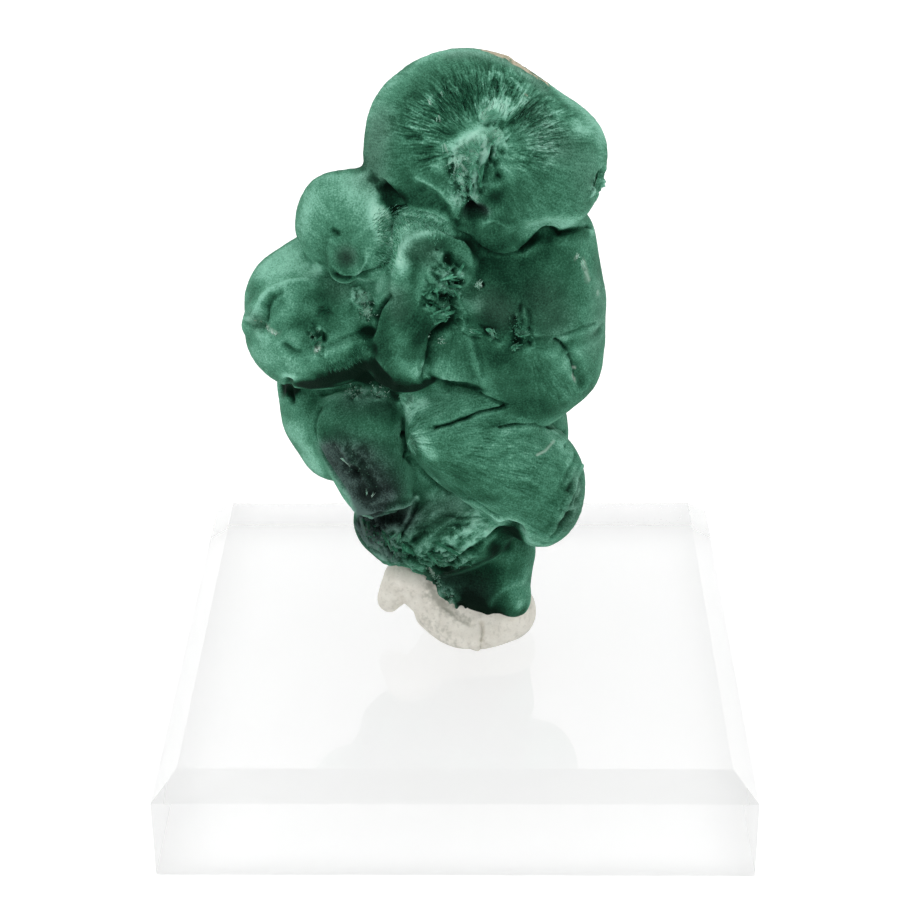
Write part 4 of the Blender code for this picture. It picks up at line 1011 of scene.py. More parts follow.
def place(camera, surface, point):
    """The point of a surface that a table's entry stands for, in metres."""
    if len(point) == 3:
        return surface.find_nearest(Vector(point) * MM)[0]
    direction = sight(camera, point)
    hit = surface.ray_cast(CAMERA_PLACE, direction)[0]
    if hit is not None:
        return hit
    # Just off the outline: the nearest point of the stone to the line of sight.
    way = (USUAL_DEPTH * MM - CAMERA_PLACE.y) / direction.y
    return surface.find_nearest(CAMERA_PLACE + direction * way)[0]


# ---------------------------------------------------------------------------------------------------------
# Meshes.

def add_object(name, mesh):
    obj = bpy.data.objects.new(name, mesh)
    bpy.context.scene.collection.objects.link(obj)
    return obj


def evaluated_mesh(obj):
    """The mesh that an object's modifiers make. The object itself is removed."""
    graph = bpy.context.evaluated_depsgraph_get()
    mesh = bpy.data.meshes.new_from_object(obj.evaluated_get(graph))
    bpy.data.objects.remove(obj)
    return mesh


def add_skin(shape, balls):
    """Adds the convex skin round some balls to a bmesh, as one closed shell."""
    skin = bmesh.new()
    for centre, radii in balls:
        size = Matrix.Diagonal((*(Vector(radii) * MM), 1.0))
        spot = Matrix.Translation(Vector(centre) * MM)
        bmesh.ops.create_icosphere(skin, subdivisions=BALL_DETAIL, radius=1.0, matrix=spot @ size)
    if len(balls) > 1:
        hull = bmesh.ops.convex_hull(skin, input=skin.verts)
        kept = {part for part in hull["geom"] if isinstance(part, bmesh.types.BMFace)}
        bmesh.ops.delete(skin, geom=[face for face in skin.faces if face not in kept], context="FACES")
        bmesh.ops.delete(skin, geom=[vert for vert in skin.verts if not vert.link_faces], context="VERTS")
    bmesh.ops.recalc_face_normals(skin, faces=skin.faces)
    mesh = bpy.data.meshes.new("skin")
    skin.to_mesh(mesh)
    skin.free()
    shape.from_mesh(mesh)
    bpy.data.meshes.remove(mesh)


def melted(groups, grain):
    """One closed mesh from overlapping lobes, each a list of balls."""
    shape = bmesh.new()
    for balls in groups:
        add_skin(shape, balls)
    mesh = bpy.data.meshes.new("melt")
    shape.to_mesh(mesh)
    shape.free()
    obj = add_object("melt", mesh)
    modifier = obj.modifiers.new("melt", "REMESH")
    modifier.mode = "VOXEL"
    modifier.voxel_size = grain * MM
    return evaluated_mesh(obj)


def thin_out(mesh, triangles):
    """Thins a mesh to about the given number of triangles. Its attributes are kept."""
    now = sum(len(face.vertices) - 2 for face in mesh.polygons)
    if now <= triangles:
        return mesh
    obj = add_object("thin", mesh)
    modifier = obj.modifiers.new("thin", "DECIMATE")
    modifier.ratio = triangles / now
    modifier.use_collapse_triangulate = True
    return evaluated_mesh(obj)


def points_of(mesh):
    points = np.empty(len(mesh.vertices) * 3, dtype=np.float32)
    mesh.vertices.foreach_get("co", points)
    return points.reshape(-1, 3).astype(float) / MM


def normals_of(mesh):
    normals = np.empty(len(mesh.vertices) * 3, dtype=np.float32)
    mesh.vertex_normals.foreach_get("vector", normals)
    return normals.reshape(-1, 3).astype(float)


def set_points(mesh, points):
    mesh.vertices.foreach_set("co", (points * MM).astype(np.float32).ravel())
    mesh.update()


def set_attribute(mesh, name, values):
    kind = "FLOAT_VECTOR" if values.ndim == 2 else "FLOAT"
    attribute = mesh.attributes.new(name, kind, "POINT")
    attribute.data.foreach_set("vector" if values.ndim == 2 else "value", values.astype(np.float32).ravel())


def surface_of(mesh):
    corners = [tuple(face.vertices) for face in mesh.polygons]
    return BVHTree.FromPolygons((points_of(mesh) * MM).tolist(), corners)


def unit(vectors):
    return vectors / np.maximum(np.linalg.norm(vectors, axis=-1, keepdims=True), 1e-9)


class Neighbours:
    """Averages over each vertex's neighbours."""

    def __init__(self, mesh):
        edges = np.empty(len(mesh.edges) * 2, dtype=np.int32)
        mesh.edges.foreach_get("vertices", edges)
        edges = edges.reshape(-1, 2)
        self.start = np.concatenate([edges[:, 0], edges[:, 1]])
        self.end = np.concatenate([edges[:, 1], edges[:, 0]])
        self.size = len(mesh.vertices)
        self.count = np.maximum(np.bincount(self.start, minlength=self.size), 1)

    def average(self, values, rounds):
        for _ in range(rounds):
            columns = values.reshape(self.size, -1)
            sums = [np.bincount(self.start, column[self.end], self.size) for column in columns.T]
            values = (np.stack(sums, axis=1) / self.count[:, None]).reshape(values.shape)
        return values


# ---------------------------------------------------------------------------------------------------------
# Noise and strokes, on arrays of points in millimetres.

def chance(cells, seed):
    """A fixed random number from -1 to 1 for each whole cell."""
    mixed = cells[..., 0] * 73856093 ^ cells[..., 1] * 19349663 ^ cells[..., 2] * 83492791 ^ seed * 2971215073
    mixed = (mixed ^ (mixed >> 15)) * 2246822519 & 0xFFFFFFFF
    mixed = (mixed ^ (mixed >> 13)) * 3266489917 & 0xFFFFFFFF
    return ((mixed ^ (mixed >> 16)) & 0xFFFFFF) / 0x7FFFFF - 1.0


def noise_at(points, breadth, seed=0):
    """Smooth noise from -1 to 1, whose lumps are about as wide as the breadth."""
    scaled = points / breadth
    cell = np.floor(scaled).astype(np.int64)
    share = scaled - cell
    share = share * share * (3.0 - 2.0 * share)
    total = np.zeros(len(points))
    for corner in range(8):
        step = np.array([corner & 1, corner >> 1 & 1, corner >> 2 & 1])
        weight = np.prod(np.where(step, share, 1.0 - share), axis=1)
        total += weight * chance(cell + step, seed)
    return total


def rough_noise(points, breadth, seed=0, octaves=3):
    return sum(noise_at(points, breadth / 2**n, seed + n) / 2**n for n in range(octaves))


def shattered(points, breadth, seed=0):
    """Flat facets about as wide as the breadth, each tilted its own way, from about -1 to 1."""
    scaled = points / breadth
    cell = np.floor(scaled).astype(np.int64)
    nearest = np.full(len(points), np.inf)
    height = np.zeros(len(points))
    for turn in range(27):
        other = cell + np.array([turn % 3 - 1, turn // 3 % 3 - 1, turn // 9 - 1])
        heart = np.stack([chance(other, seed + axis) for axis in range(3)], axis=1)
        off = scaled - (other + 0.5 + 0.4 * heart)
        tilt = np.stack([chance(other, seed + 3 + axis) for axis in range(3)], axis=1)
        far = (off**2).sum(axis=1)
        facet = 0.5 * chance(other, seed + 6) + (off * tilt).sum(axis=1)
        height = np.where(far < nearest, facet, height)
        nearest = np.minimum(nearest, far)
    return height


def combed_noise(points, direction, breadth, length, seed=0, samples=9):
    """Noise smeared along a direction, so that it looks like fibres."""
    steps = np.linspace(-length / 2, length / 2, samples)
    return sum(noise_at(points + direction * step, breadth, seed) for step in steps) / math.sqrt(samples)


def path_distance(points, normals, path):
    """How far each point is from a path, and on which side of it: positive on the left seen from outside."""
    path = np.asarray(path)
    nearest = np.linalg.norm(points - path[0], axis=1)
    side = np.zeros(len(points))
    for start, end in zip(path, path[1:]):
        along = end - start
        share = np.clip((points - start) @ along / (along @ along), 0.0, 1.0)
        off = points - (start + share[:, None] * along)
        far = np.linalg.norm(off, axis=1)
        left = np.einsum("ij,ij->i", np.cross(normals, along), off) / np.linalg.norm(along)
        closer = far <= nearest
        side = np.where(closer, left, side)
        nearest = np.minimum(nearest, far)
    return nearest, side


PROFILES = {
    "soft": lambda share, side: (1.0 - share**2) ** 2,
    "sharp": lambda share, side: (1.0 - share) ** 1.3,
    "cliff": lambda share, side: (1.0 - share**2) ** 2 * np.clip(side / 0.15 + 0.5, 0.0, 1.0),
}


def stroke(points, normals, path, reach, profile="soft"):
    """The points within reach of a path, and how strongly it acts on each, from 0 to 1."""
    low, high = path.min(axis=0) - reach, path.max(axis=0) + reach
    near = np.flatnonzero(((points > low) & (points < high)).all(axis=1))
    distance, side = path_distance(points[near], normals[near], path)
    inside = distance < reach
    near, share, side = near[inside], distance[inside] / reach, side[inside]
    return near, PROFILES[profile](share, side)


def pinned(camera, surface, line):
    return np.array([place(camera, surface, point) for point in line], dtype=float) / MM


def painted(points, normals, camera, surface, strokes):
    """The sum of soft strokes at each point. Each is a strength, a reach, and one path or more."""
    layer = np.zeros(len(points))
    for strength, reach, *lines in strokes:
        for line in lines:
            near, share = stroke(points, normals, pinned(camera, surface, line), reach)
            layer[near] += strength * share
    return layer


def carved(points, normals, camera, surface, strokes):
    """The same for strokes that begin with the name of their profile."""
    lift = np.zeros(len(points))
    for profile, height, reach, *lines in strokes:
        for line in lines:
            near, share = stroke(points, normals, pinned(camera, surface, line), reach, profile)
            lift[near] += height * share
    return lift


# ---------------------------------------------------------------------------------------------------------
# The stone.

def balls_distance(points, balls):
    """About how far each point is outside a lobe, in millimetres."""
    gaps = []
    for centre, radii in balls:
        radii = np.array(radii)
        gaps.append((np.linalg.norm((points - np.array(centre)) / radii, axis=1) - 1.0) * radii.mean())
    return np.min(gaps, axis=0)


def fibre_field(points, normals, camera, surface):
    """Which way the fibres lie at each point, how strongly they show, and how far out on its lobe it is."""
    lobes = [(balls, *GROWTH[name]) for name, balls in LOBES.items()]
    for centre, radius in BACK_LUMPS:
        pole = (centre[0], centre[1] + radius, centre[2] + 0.3 * radius)
        lobes.append(([(centre, (radius,) * 3)], pole, BACK_LUMP_COMB))
    gaps = np.stack([balls_distance(points, balls) for balls, _, _ in lobes])
    weights = np.exp(-(gaps - gaps.min(axis=0)) / LOBE_BLEND)
    weights /= weights.sum(axis=0)
    lie = np.zeros_like(points)
    comb = np.zeros(len(points))
    rim = np.zeros(len(points))
    for weight, (balls, pole, strength) in zip(weights, lobes):
        centre = np.array(place(camera, surface, pole)) / MM
        away = points - centre
        size = max(max(radii) for _, radii in balls)
        lie += weight[:, None] * unit(away)
        comb += weight * strength
        rim += weight * np.clip(np.linalg.norm(away, axis=1) / (1.6 * size), 0.0, 1.0)
    lie -= normals * np.einsum("ij,ij->i", lie, normals)[:, None]
    return unit(lie), comb, rim


def build_stone(camera):
    lumps = [[(centre, (radius,) * 3)] for centre, radius in BACK_LUMPS]
    mesh = melted(list(LOBES.values()) + lumps, STONE_GRAIN)
    neighbours = Neighbours(mesh)
    set_points(mesh, neighbours.average(points_of(mesh), CREASE_SMOOTHING))
    surface = surface_of(mesh)
    points, normals = points_of(mesh), normals_of(mesh)
    lie, comb, rim = fibre_field(points, normals, camera, surface)

    base = points, normals, camera, surface
    layers = {name: painted(*base, strokes) for name, strokes in PAINT.items()}
    lift = COARSE_RELIEF * painted(*base, RELIEF) + carved(*base, FINE_RELIEF)
    for centre, reach, height, breadth in ROUGH_PATCHES + FINE_GROUND:
        near, share = stroke(points, normals, pinned(camera, surface, [centre]), reach)
        lift[near] += height * share * rough_noise(points[near], breadth, seed=7)

    facets = np.zeros(len(points))
    for line, reach, height, breadth in SHATTERED:
        path = pinned(camera, surface, line)
        near, share = stroke(points, normals, path, reach)
        axis = unit(path[-1] - path[0])
        along = np.outer(points[near] @ axis, axis)
        broken = shattered(points[near] - along * (1.0 - 1.0 / FACET_STRETCH), breadth, seed=61)
        share = np.clip(1.8 * share, 0.0, 1.0)
        lift[near] += height * share * broken
        facets[near] += share * broken

    druse = np.clip(layers["druse"], 0.0, 1.0)
    comb = (0.4 * comb + np.clip(layers["comb"], 0.0, 1.4)) * (1.0 - 0.8 * druse)
    ribs = combed_noise(points, lie, 0.30, 1.4, seed=11)
    lift += RIB_HEIGHT * comb * ribs
    lift += LUMP_HEIGHT * rough_noise(points, 2.6, seed=21, octaves=2)
    lift += GRIT_HEIGHT * druse * rough_noise(points, 0.5, seed=31, octaves=2)
    points = points + normals * lift[:, None]
    set_points(mesh, points)

    # Painted shade and highlight: the tone darkens in hollows, more on broken crystal, and lightens on
    # bulges.
    level = neighbours.average(points, 24)
    hollow = np.einsum("ij,ij->i", level - points, normals_of(mesh))
    tone = layers["tone"] + 0.22 * (rim - 0.5) + np.clip(-hollow * (1.2 + 0.8 * druse), -0.5, 0.3)
    tone += 0.10 * rough_noise(points, 5.0, seed=41) + 0.05 * ribs * comb + 0.12 * np.clip(facets, -1.0, 1.0)
    set_attribute(mesh, "tone", tone)
    for name in ("veil", "soot_and_shade", "chalk_and_glint", "bed"):
        set_attribute(mesh, name, np.clip(layers[name], 0.0, 1.0))
    for name, values in {"druse": druse, "comb": comb, "lie": lie}.items():
        set_attribute(mesh, name, values)

    mesh = thin_out(mesh, STONE_TRIANGLES)
    mesh.shade_smooth()
    mesh.materials.clear()
    mesh.materials.append(malachite_material())
    obj = add_object("malachite_stone", mesh)
    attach(obj, "root")
    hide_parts("malachite")
    return obj, surface


# ---------------------------------------------------------------------------------------------------------
# Needles, blades and crusts of crystal that stand on the stone.

class Spikes:
    """Gathers slim three-sided spikes, each a closed solid, and makes one mesh of them."""

    def __init__(self):
        self.corners = []
        self.tones = []
        self.whites = []

    def add(self, roots, headings, normals, lengths, width, thickness, tone, white):
        """Roots and vectors are arrays; the tone and the whiteness are one value for each spike."""
        side = unit(np.cross(headings, normals))
        over = unit(np.cross(side, headings))
        base = roots - headings * (0.15 * lengths[:, None])
        left = base - side * width[:, None] / 2
        right = base + side * width[:, None] / 2
        top = base + over * thickness[:, None]
        tip = base + headings * lengths[:, None]
        self.corners.append(np.stack([left, right, top, tip], axis=1))
        self.tones.append(tone)
        self.whites.append(white)

    def mesh(self, name):
        corners = np.concatenate(self.corners)
        first = np.arange(len(corners))[:, None] * 4
        sides = ((0, 1, 2), (0, 3, 1), (1, 3, 2), (2, 3, 0))
        faces = np.concatenate([first + np.array(side) for side in sides])
        return crystal_mesh(
            name, corners.reshape(-1, 3), faces.tolist(),
            np.repeat(np.concatenate(self.tones), 4), np.repeat(np.concatenate(self.whites), 4),
        )


def crystal_mesh(name, points, faces, tones, whites):
    mesh = bpy.data.meshes.new(name)
    mesh.from_pydata((points * MM).tolist(), [], faces)
    shape = bmesh.new()
    shape.from_mesh(mesh)
    bmesh.ops.recalc_face_normals(shape, faces=shape.faces)
    shape.to_mesh(mesh)
    shape.free()
    set_attribute(mesh, "tone", tones)
    set_attribute(mesh, "chalk_and_glint", whites)
    return mesh


def add_crystals(name, mesh, material):
    mesh.materials.append(material)
    obj = add_object(name, mesh)
    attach(obj, "root")


def build_blades(camera, base, surface, material):
    """Broken plates of crystal, bent a little and ragged at the tip."""
    draw = np.random.default_rng(9)
    points, faces, tones = [], [], []
    for root, tip, count, width, rise, tone in BLADES:
        start, end = pinned(camera, base, [root, tip])
        for _ in range(count):
            shift = draw.normal(0, 0.3 * width, 3)
            begin, normal = (values[0] for values in on_surface(surface, [start + shift]))
            along = end - start
            length = np.linalg.norm(along) * draw.uniform(0.8, 1.3)
            flat = along - normal * (along @ normal)
            flat = flat + draw.normal(0, 0.12 * length, 3)
            heading = tilted(flat, normal, np.array([rise * draw.uniform(0.4, 1.4)]))[0]
            side = unit(np.cross(heading, normal) + draw.normal(0, 0.35, 3))
            over = unit(np.cross(side, heading))
            bend = draw.normal(0, 0.12) * length
            broad = width * draw.uniform(0.5, 1.1)
            first = len(points)
            for ring in range(BLADE_RINGS):
                share = ring / (BLADE_RINGS - 1)
                middle = begin + heading * length * (share - 0.2) + over * bend * share**2
                half = 0.5 * broad * (1.0 - 0.45 * share) * draw.uniform(0.8, 1.15)
                thick = 0.5 * BLADE_THICKNESS * (1.0 - 0.5 * share)
                jag = heading * draw.normal(0, 0.06) * length * share
                left, right = middle - side * half + jag, middle + side * half - jag
                points += [left, middle + over * thick, right, middle - over * thick]
                tones += [tone + draw.normal(0, 0.10)] * 4
            for ring in range(BLADE_RINGS - 1):
                low = first + 4 * ring
                for corner in range(4):
                    following = (corner + 1) % 4
                    faces.append([low + corner, low + following, low + 4 + following, low + 4 + corner])
            faces.append([first, first + 1, first + 2, first + 3])
            last = first + 4 * (BLADE_RINGS - 1)
            faces.append([last, last + 3, last + 2, last + 1])
    tones = np.array(tones)
    mesh = crystal_mesh("malachite_blades", np.array(points), faces, tones, np.zeros(len(tones)))
    add_crystals("malachite_blades", mesh, material)


def on_surface(surface, spots):
    """The nearest points of a surface, and its normals there."""
    hits = [surface.find_nearest(Vector(spot) * MM)[:2] for spot in spots]
    return np.array([hit[0] for hit in hits]) / MM, np.array([hit[1] for hit in hits])


def tilted(flat, normals, rise):
    """Directions along the surface, lifted off it by an angle in degrees."""
    angle = np.radians(rise)[:, None]
    return unit(unit(flat) * np.cos(angle) + normals * np.sin(angle))


def scattered(surface, path, reach, count, draw):
    """Random places near a path on a surface, and the normals there."""
    at = draw.uniform(0, len(path) - 1, count) if len(path) > 1 else np.zeros(count)
    first = np.minimum(at.astype(int), max(len(path) - 2, 0))
    following = np.minimum(first + 1, len(path) - 1)
    spots = path[first] + (at - first)[:, None] * (path[following] - path[first])
    spots += unit(draw.normal(size=(count, 3))) * (reach * np.sqrt(draw.uniform(0, 1, count)))[:, None]
    return on_surface(surface, spots)


def build_crystals(camera, base, stone):
    """Needles are aimed by pixels on the base surface, and stand on the finished stone."""
    surface = surface_of(stone.data)
    draw = np.random.default_rng(5)
    spikes = Spikes()
    for root, heading, spread, rise, count, length, width, tone, white in SPRAYS:
        start = pinned(camera, base, [root])
        roots, normals = on_surface(surface, start + draw.normal(0, 0.10, (count, 3)))
        across = unit(np.cross(normals, [0.0, 0.0, 1.0]))
        if heading is not None:
            along = (pinned(camera, base, [heading]) - start)[0]
            across = unit(along - normals * (normals @ along)[:, None])
        turn = np.radians(spread) * draw.uniform(-1, 1, count)[:, None]
        flat = across * np.cos(turn) + np.cross(normals, across) * np.sin(turn)
        headings = tilted(flat, normals, rise * draw.uniform(0.2, 1.3, count))
        spikes.add(
            roots, headings, normals,
            length * draw.uniform(0.45, 1.0, count),
            width * draw.uniform(0.6, 1.4, count),
            width * draw.uniform(0.4, 0.9, count),
            tone + draw.normal(0, 0.12, count),
            np.clip(white * draw.uniform(0.2, 1.8, count), 0, 1),
        )
    for line, reach, count, length, width, tone, white in CRUSTS:
        roots, normals = scattered(surface, pinned(camera, base, line), reach, count, draw)
        flat = unit(np.cross(normals, unit(draw.normal(size=(count, 3)))))
        headings = tilted(flat, normals, draw.uniform(15, 80, count))
        spikes.add(
            roots, headings, normals,
            length * draw.uniform(0.4, 1.2, count),
            width * draw.uniform(0.6, 1.4, count),
            width * draw.uniform(0.5, 1.2, count),
            tone + draw.normal(0, 0.15, count),
            np.clip(white * draw.uniform(0.2, 1.8, count), 0, 1),
        )
    for line, reach, count, length, width, tone, rise in FRINGES:
        roots, normals = scattered(surface, pinned(camera, base, line), reach, count, draw)
        lie = fibre_field(roots, normals, camera, base)[0]
        lie = unit(lie + draw.normal(0, 0.18, (count, 3)))
        headings = tilted(lie, normals, rise * draw.uniform(0.4, 1.5, count))
        spikes.add(
            roots, headings, normals,
            length * draw.uniform(0.5, 1.2, count),
            width * draw.uniform(0.7, 1.3, count),
            width * draw.uniform(0.6, 1.0, count),
            tone + draw.normal(0, 0.14, count),
            np.zeros(count),
        )
    material = needle_material()
    add_crystals("malachite_needles", spikes.mesh("malachite_needles"), material)
    build_blades(camera, base, surface, material)


# ---------------------------------------------------------------------------------------------------------
# The putty.

def build_putty(camera):
    mesh = melted(PUTTY_LUMPS.values(), PUTTY_GRAIN)
    surface = surface_of(mesh)
    points, normals = points_of(mesh), normals_of(mesh)
    base = points, normals, camera, surface
    darkening = painted(*base, PUTTY_DARKENING)
    lift = 0.10 * rough_noise(points, 2.4, seed=51, octaves=2) + 0.02 * noise_at(points, 0.5, 52)
    lift += carved(*base, PUTTY_RELIEF)
    points = points + normals * lift[:, None]
    # Pressed flat on the block.
    points[:, 2] = np.maximum(points[:, 2], BLOCK_HEIGHT + PUTTY_CLEARANCE)
    set_points(mesh, points)
    set_attribute(mesh, "darkening", np.clip(darkening, 0.0, 1.0))
    mesh = thin_out(mesh, PUTTY_TRIANGLES)
    mesh.shade_smooth()
    mesh.materials.clear()
    mesh.materials.append(putty_material())
    obj = add_object("putty", mesh)
    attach(obj, "root")
    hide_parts("mounting_putty")


# ---------------------------------------------------------------------------------------------------------
# Materials.

def rgb(red, green, blue):
    """A colour given as it looks on a screen, from 0 to 255, as linear light."""
    def linear(value):
        value /= 255
        return value / 12.92 if value <= 0.04045 else ((value + 0.055) / 1.055) ** 2.4
    return (linear(red), linear(green), linear(blue), 1.0)


class Nodes:
    """A material, and short ways to add its nodes. A socket's value may be another node's output."""

    def __init__(self, name):
        self.material = bpy.data.materials.new(name)
        self.material.use_nodes = True
        self.tree = self.material.node_tree
        self.shader = self.tree.nodes["Principled BSDF"]

    def add(self, kind, inputs, output=0, **settings):
        node = self.tree.nodes.new("ShaderNode" + kind)
        for key, value in settings.items():
            setattr(node, key, value)
        self.fill(node, inputs)
        return node.outputs[output]

    def fill(self, node, inputs):
        for key, value in inputs.items():
            if isinstance(value, bpy.types.NodeSocket):
                self.tree.links.new(value, node.inputs[key])
            else:
                node.inputs[key].default_value = value

    def math(self, operation, first, second=0.0):
        return self.add("Math", {0: first, 1: second}, operation=operation)

    def times(self, first, second):
        return self.math("MULTIPLY", first, second)

    def plus(self, first, second):
        return self.math("ADD", first, second)

    def here(self):
        """The place on the object, in millimetres."""
        spot = self.add("TexCoord", {}, "Object")
        return self.add("VectorMath", {0: spot, "Scale": 1 / MM}, operation="SCALE")

    def attribute(self, name, output="Fac"):
        return self.add("Attribute", {}, output, attribute_name=name)

    def noise(self, place, scale, detail=2.0, roughness=0.5):
        inputs = {"Vector": place, "Scale": scale, "Detail": detail, "Roughness": roughness}
        return self.add("TexNoise", inputs, "Fac")

    def span(self, value, low, high, to_low=0.0, to_high=1.0):
        """Maps a value's span to another, and holds it there."""
        inputs = {"Value": value, "From Min": low, "From Max": high, "To Min": to_low, "To Max": to_high}
        return self.add("MapRange", inputs)

    def mix(self, share, first, second):
        return self.add("Mix", {0: share, 6: first, 7: second}, 2, data_type="RGBA")

    def ramp(self, value, stops):
        node = self.tree.nodes.new("ShaderNodeValToRGB")
        elements = node.color_ramp.elements
        while len(elements) < len(stops):
            elements.new(1.0)
        for element, (position, colour) in zip(elements, stops):
            element.position = position
            element.color = colour
        self.tree.links.new(value, node.inputs["Fac"])
        return node.outputs["Color"]


def smeared(make, here, lie, step, scale):
    """The average of nine samples of noise along a direction."""
    total = None
    for turn in range(-4, 5):
        shifted = make.add("VectorMath", {0: lie, 1: (turn * step,) * 3, 2: here}, operation="MULTIPLY_ADD")
        sample = make.noise(shifted, scale, detail=1.0)
        total = sample if total is None else make.plus(total, sample)
    return make.times(total, 1 / 9)


def malachite_material():
    make = Nodes("malachite_velvet")
    here = make.here()
    lie = make.attribute("lie", "Vector")
    comb = make.attribute("comb")
    druse = make.attribute("druse")

    # Fibres: fine noise smeared along the way that they lie, and coarser streaks where they show strongly.
    fibres = smeared(make, here, lie, 0.08, 6.5)
    streaks = smeared(make, here, lie, 0.17, 3.4)
    fibres = make.times(make.span(fibres, 0.40, 0.60, -1.0, 1.0), comb)
    strong = make.span(comb, 0.5, 1.6)
    streaks = make.times(make.span(streaks, 0.42, 0.58, -1.0, 1.0), strong)

    grain = make.span(make.noise(here, 7.0, detail=3.0, roughness=0.75), 0.32, 0.68, -1.0, 1.0)
    mottle = make.span(make.noise(here, 0.55, detail=4.0, roughness=0.6), 0.3, 0.7, -1.0, 1.0)
    tone = make.plus(make.attribute("tone"), MIDDLE_TONE)
    for part, weight in ((fibres, 0.16), (streaks, 0.16), (grain, 0.15), (mottle, 0.08)):
        tone = make.plus(tone, make.times(part, weight))
    shade = make.times(tone, 1 / PALEST_TONE)
    green = make.ramp(shade, [
        (0.0, rgb(4, 26, 16)),
        (0.25 / PALEST_TONE, rgb(16, 56, 39)),
        (0.5 / PALEST_TONE, rgb(43, 93, 70)),
        (0.75 / PALEST_TONE, rgb(78, 138, 112)),
        (1.0 / PALEST_TONE, rgb(132, 192, 168)),
        (1.0, rgb(170, 224, 202)),
    ])
    greyed = make.ramp(shade, [
        (0.0, rgb(14, 28, 22)),
        (0.5 / PALEST_TONE, rgb(54, 84, 70)),
        (1.0 / PALEST_TONE, rgb(124, 158, 144)),
        (1.0, rgb(196, 218, 208)),
    ])
    colour = make.mix(make.attribute("veil"), green, greyed)
    sooty = make.ramp(make.plus(tone, make.times(grain, 0.1)), [
        (0.0, rgb(4, 12, 10)),
        (0.5, rgb(33, 47, 44)),
        (1.0, rgb(84, 108, 102)),
    ])
    colour = make.mix(make.attribute("soot_and_shade"), colour, sooty)
    bed = make.ramp(make.noise(here, 1.8, detail=5.0, roughness=0.7), [
        (0.3, rgb(122, 117, 98)),
        (0.5, rgb(182, 170, 146)),
        (0.7, rgb(212, 203, 184)),
    ])
    ragged = make.span(make.noise(here, 0.9, detail=6.0, roughness=0.7), 0.35, 0.65, 0.0, 1.7)
    ragged = make.times(make.attribute("bed"), ragged)
    colour = make.mix(make.span(ragged, 0.25, 0.7), colour, bed)
    # White, partly bare mineral, partly painted glints.
    colour = make.mix(make.attribute("chalk_and_glint"), colour, rgb(186, 208, 194))

    height = make.plus(make.times(fibres, 0.6), make.times(grain, 0.3))
    height = make.plus(height, make.times(streaks, 0.8))
    glitter = make.span(make.noise(here, 6.0, detail=3.0, roughness=0.8), 0.3, 0.7, -1.0, 1.0)
    height = make.plus(height, make.times(make.times(glitter, druse), 1.2))
    bump = make.add("Bump", {"Strength": 1.0, "Distance": 0.00006, "Height": height}, "Normal")
    roughness = make.plus(make.span(grain, -1.0, 1.0, 0.62, 0.82), make.times(druse, -0.2))
    make.fill(make.shader, {
        "Base Color": colour,
        "Roughness": roughness,
        "Normal": bump,
        "Specular IOR Level": 0.05,
        "Sheen Weight": 0.02,
        "Sheen Roughness": 0.5,
        "Sheen Tint": rgb(130, 205, 170),
    })
    return make.material


def needle_material():
    make = Nodes("malachite_needles")
    here = make.here()
    grain = make.span(make.noise(here, 5.0, detail=3.0, roughness=0.7), 0.3, 0.7, -0.15, 0.15)
    tone = make.plus(make.plus(make.attribute("tone"), 0.5), grain)
    green = make.ramp(tone, [
        (0.0, rgb(4, 26, 17)),
        (0.5, rgb(36, 96, 70)),
        (0.8, rgb(82, 152, 122)),
        (1.0, rgb(134, 202, 176)),
    ])
    # White, partly bare mineral, partly painted glints.
    colour = make.mix(make.attribute("chalk_and_glint"), green, rgb(190, 216, 204))
    make.fill(make.shader, {
        "Base Color": colour,
        "Roughness": make.span(grain, -0.15, 0.15, 0.45, 0.65),
        "Specular IOR Level": 0.15,
    })
    return make.material


def putty_material():
    make = Nodes("putty_matt")
    here = make.here()
    blotch = make.noise(here, 0.9, detail=4.0, roughness=0.6)
    colour = make.ramp(blotch, [
        (0.3, rgb(217, 213, 202)),
        (0.7, rgb(234, 231, 221)),
    ])
    speck = make.span(make.noise(here, 6.0, detail=2.0), 0.62, 0.72, 0.0, 0.15)
    colour = make.mix(speck, colour, rgb(150, 146, 136))
    uneven = make.span(make.noise(here, 2.5, detail=4.0), 0.35, 0.65, -0.3, 0.3)
    # Darker where those strokes lie, unevenly.
    darkened = make.span(make.plus(make.attribute("darkening"), uneven), 0.1, 0.9, 0.0, 0.6)
    colour = make.mix(darkened, colour, rgb(120, 122, 108))
    pores = make.noise(here, 3.5, detail=5.0, roughness=0.7)
    bump = make.add("Bump", {"Strength": 0.6, "Distance": 0.00015, "Height": pores}, "Normal")
    make.fill(make.shader, {
        "Base Color": colour,
        "Roughness": make.span(pores, 0.3, 0.7, 0.6, 0.8),
        "Normal": bump,
        "Specular IOR Level": 0.3,
    })
    return make.material


def acrylic_material():
    make = Nodes("acrylic_clear")
    here = make.here()
    wave = make.noise(here, 0.12, detail=1.0)
    haze = make.noise(here, 0.8, detail=5.0, roughness=0.7)
    bump = make.add("Bump", {"Strength": 0.15, "Distance": 0.0002, "Height": wave}, "Normal")
    make.fill(make.shader, {
        # Grey on the eased edges and chamfers: painted shade.
        "Base Color": make.mix(make.attribute("painted_edge_shade"), (1.0, 1.0, 1.0, 1.0), (0.5, 0.51, 0.5, 1.0)),
        "Roughness": make.span(haze, 0.35, 0.75, 0.0, 0.05),
        "Normal": bump,
        "IOR": 1.49,
        "Transmission Weight": 1.0,
    })
    return make.material


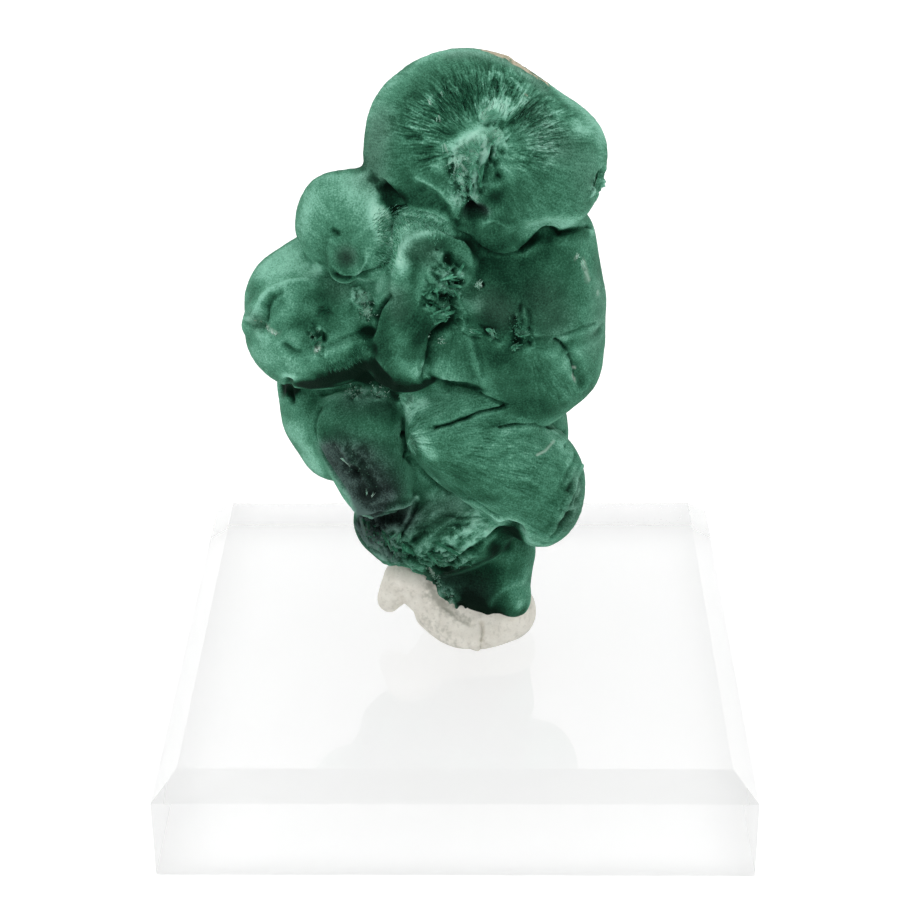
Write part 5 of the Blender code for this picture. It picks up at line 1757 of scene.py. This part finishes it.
def build_block():
    """The CAD's block with its edges eased, as polished acrylic has them."""
    shape = bmesh.new()
    shape.from_mesh(bpy.data.objects["acrylic_block"].data)
    flat = {"angle_face_threshold": 0.01, "angle_shape_threshold": math.pi}
    bmesh.ops.join_triangles(shape, faces=shape.faces, **flat)
    edges = list(shape.edges)
    eased = bmesh.ops.bevel(shape, geom=edges, offset=EDGE_EASING * MM, segments=4, affect="EDGES")
    eased = set(eased["faces"])
    # Painted shade: most on the eased edges, less on the chamfers.
    painted_edge_shade = []
    for face in shape.faces:
        face.smooth = True
        sloping = max(abs(value) for value in face.normal) < 0.9
        painted_edge_shade.append(EDGE_PAINTED_SHADE if face in eased else CHAMFER_PAINTED_SHADE if sloping else 0.0)
    mesh = bpy.data.meshes.new("acrylic_block_polished")
    shape.to_mesh(mesh)
    shape.free()
    attribute = mesh.attributes.new("painted_edge_shade", "FLOAT", "FACE")
    attribute.data.foreach_set("value", painted_edge_shade)
    mesh.materials.clear()
    mesh.materials.append(acrylic_material())
    obj = add_object("acrylic_block_polished", mesh)
    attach(obj, "root")
    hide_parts("acrylic_block")


# ---------------------------------------------------------------------------------------------------------
# Floor and light.

def build_stage():
    shape = bmesh.new()
    bmesh.ops.create_grid(shape, x_segments=1, y_segments=1, size=FLOOR_SIDE / 2)
    bmesh.ops.translate(shape, vec=(0, 0, FLOOR_RISE), verts=shape.verts)
    mesh = bpy.data.meshes.new("floor")
    shape.to_mesh(mesh)
    shape.free()
    make = Nodes("floor_white")
    make.fill(make.shader, {
        "Base Color": (0.8, 0.8, 0.8, 1.0),
        "Roughness": 0.9,
        "Emission Color": (1.0, 1.0, 1.0, 1.0),
        "Emission Strength": FLOOR_GLOW,
    })
    mesh.materials.append(make.material)
    floor = add_object("floor", mesh)


def add_softbox(name, place_at, aim, side, power):
    data = bpy.data.lights.new(name, "AREA")
    data.shape = "SQUARE"
    data.size = side
    data.energy = power
    lamp = bpy.data.objects.new(name, data)
    bpy.context.scene.collection.objects.link(lamp)
    lamp.location = place_at
    lamp.rotation_mode = "QUATERNION"
    lamp.rotation_quaternion = (Vector(aim) - Vector(place_at)).to_track_quat("-Z", "Y")


def light_scene():
    world = bpy.data.worlds.new("studio")
    world.use_nodes = True
    tree = world.node_tree
    background = tree.nodes["Background"]
    coord = tree.nodes.new("ShaderNodeTexCoord")
    split = tree.nodes.new("ShaderNodeSeparateXYZ")
    span = tree.nodes.new("ShaderNodeMapRange")
    span.interpolation_type = "SMOOTHSTEP"
    tree.links.new(coord.outputs["Generated"], split.inputs[0])
    tree.links.new(split.outputs["Z"], span.inputs["Value"])
    for name, value in {"From Min": 0.0, "From Max": 0.35, "To Min": 0.3, "To Max": WORLD_LIGHT}.items():
        span.inputs[name].default_value = value
    tree.links.new(span.outputs["Result"], background.inputs["Strength"])
    background.inputs["Color"].default_value = (1.0, 1.0, 1.0, 1.0)
    bpy.context.scene.world = world
    add_softbox("overhead", (-0.1, -0.05, 0.9), (0, 0, 0.03), 1.0, OVERHEAD_POWER)
    bpy.context.scene.view_settings.view_transform = "Standard"


CAMERA = make_camera()
build_stage()
light_scene()
STONE, BASE_SURFACE = build_stone(CAMERA)
build_crystals(CAMERA, BASE_SURFACE, STONE)
build_putty(CAMERA)
build_block()
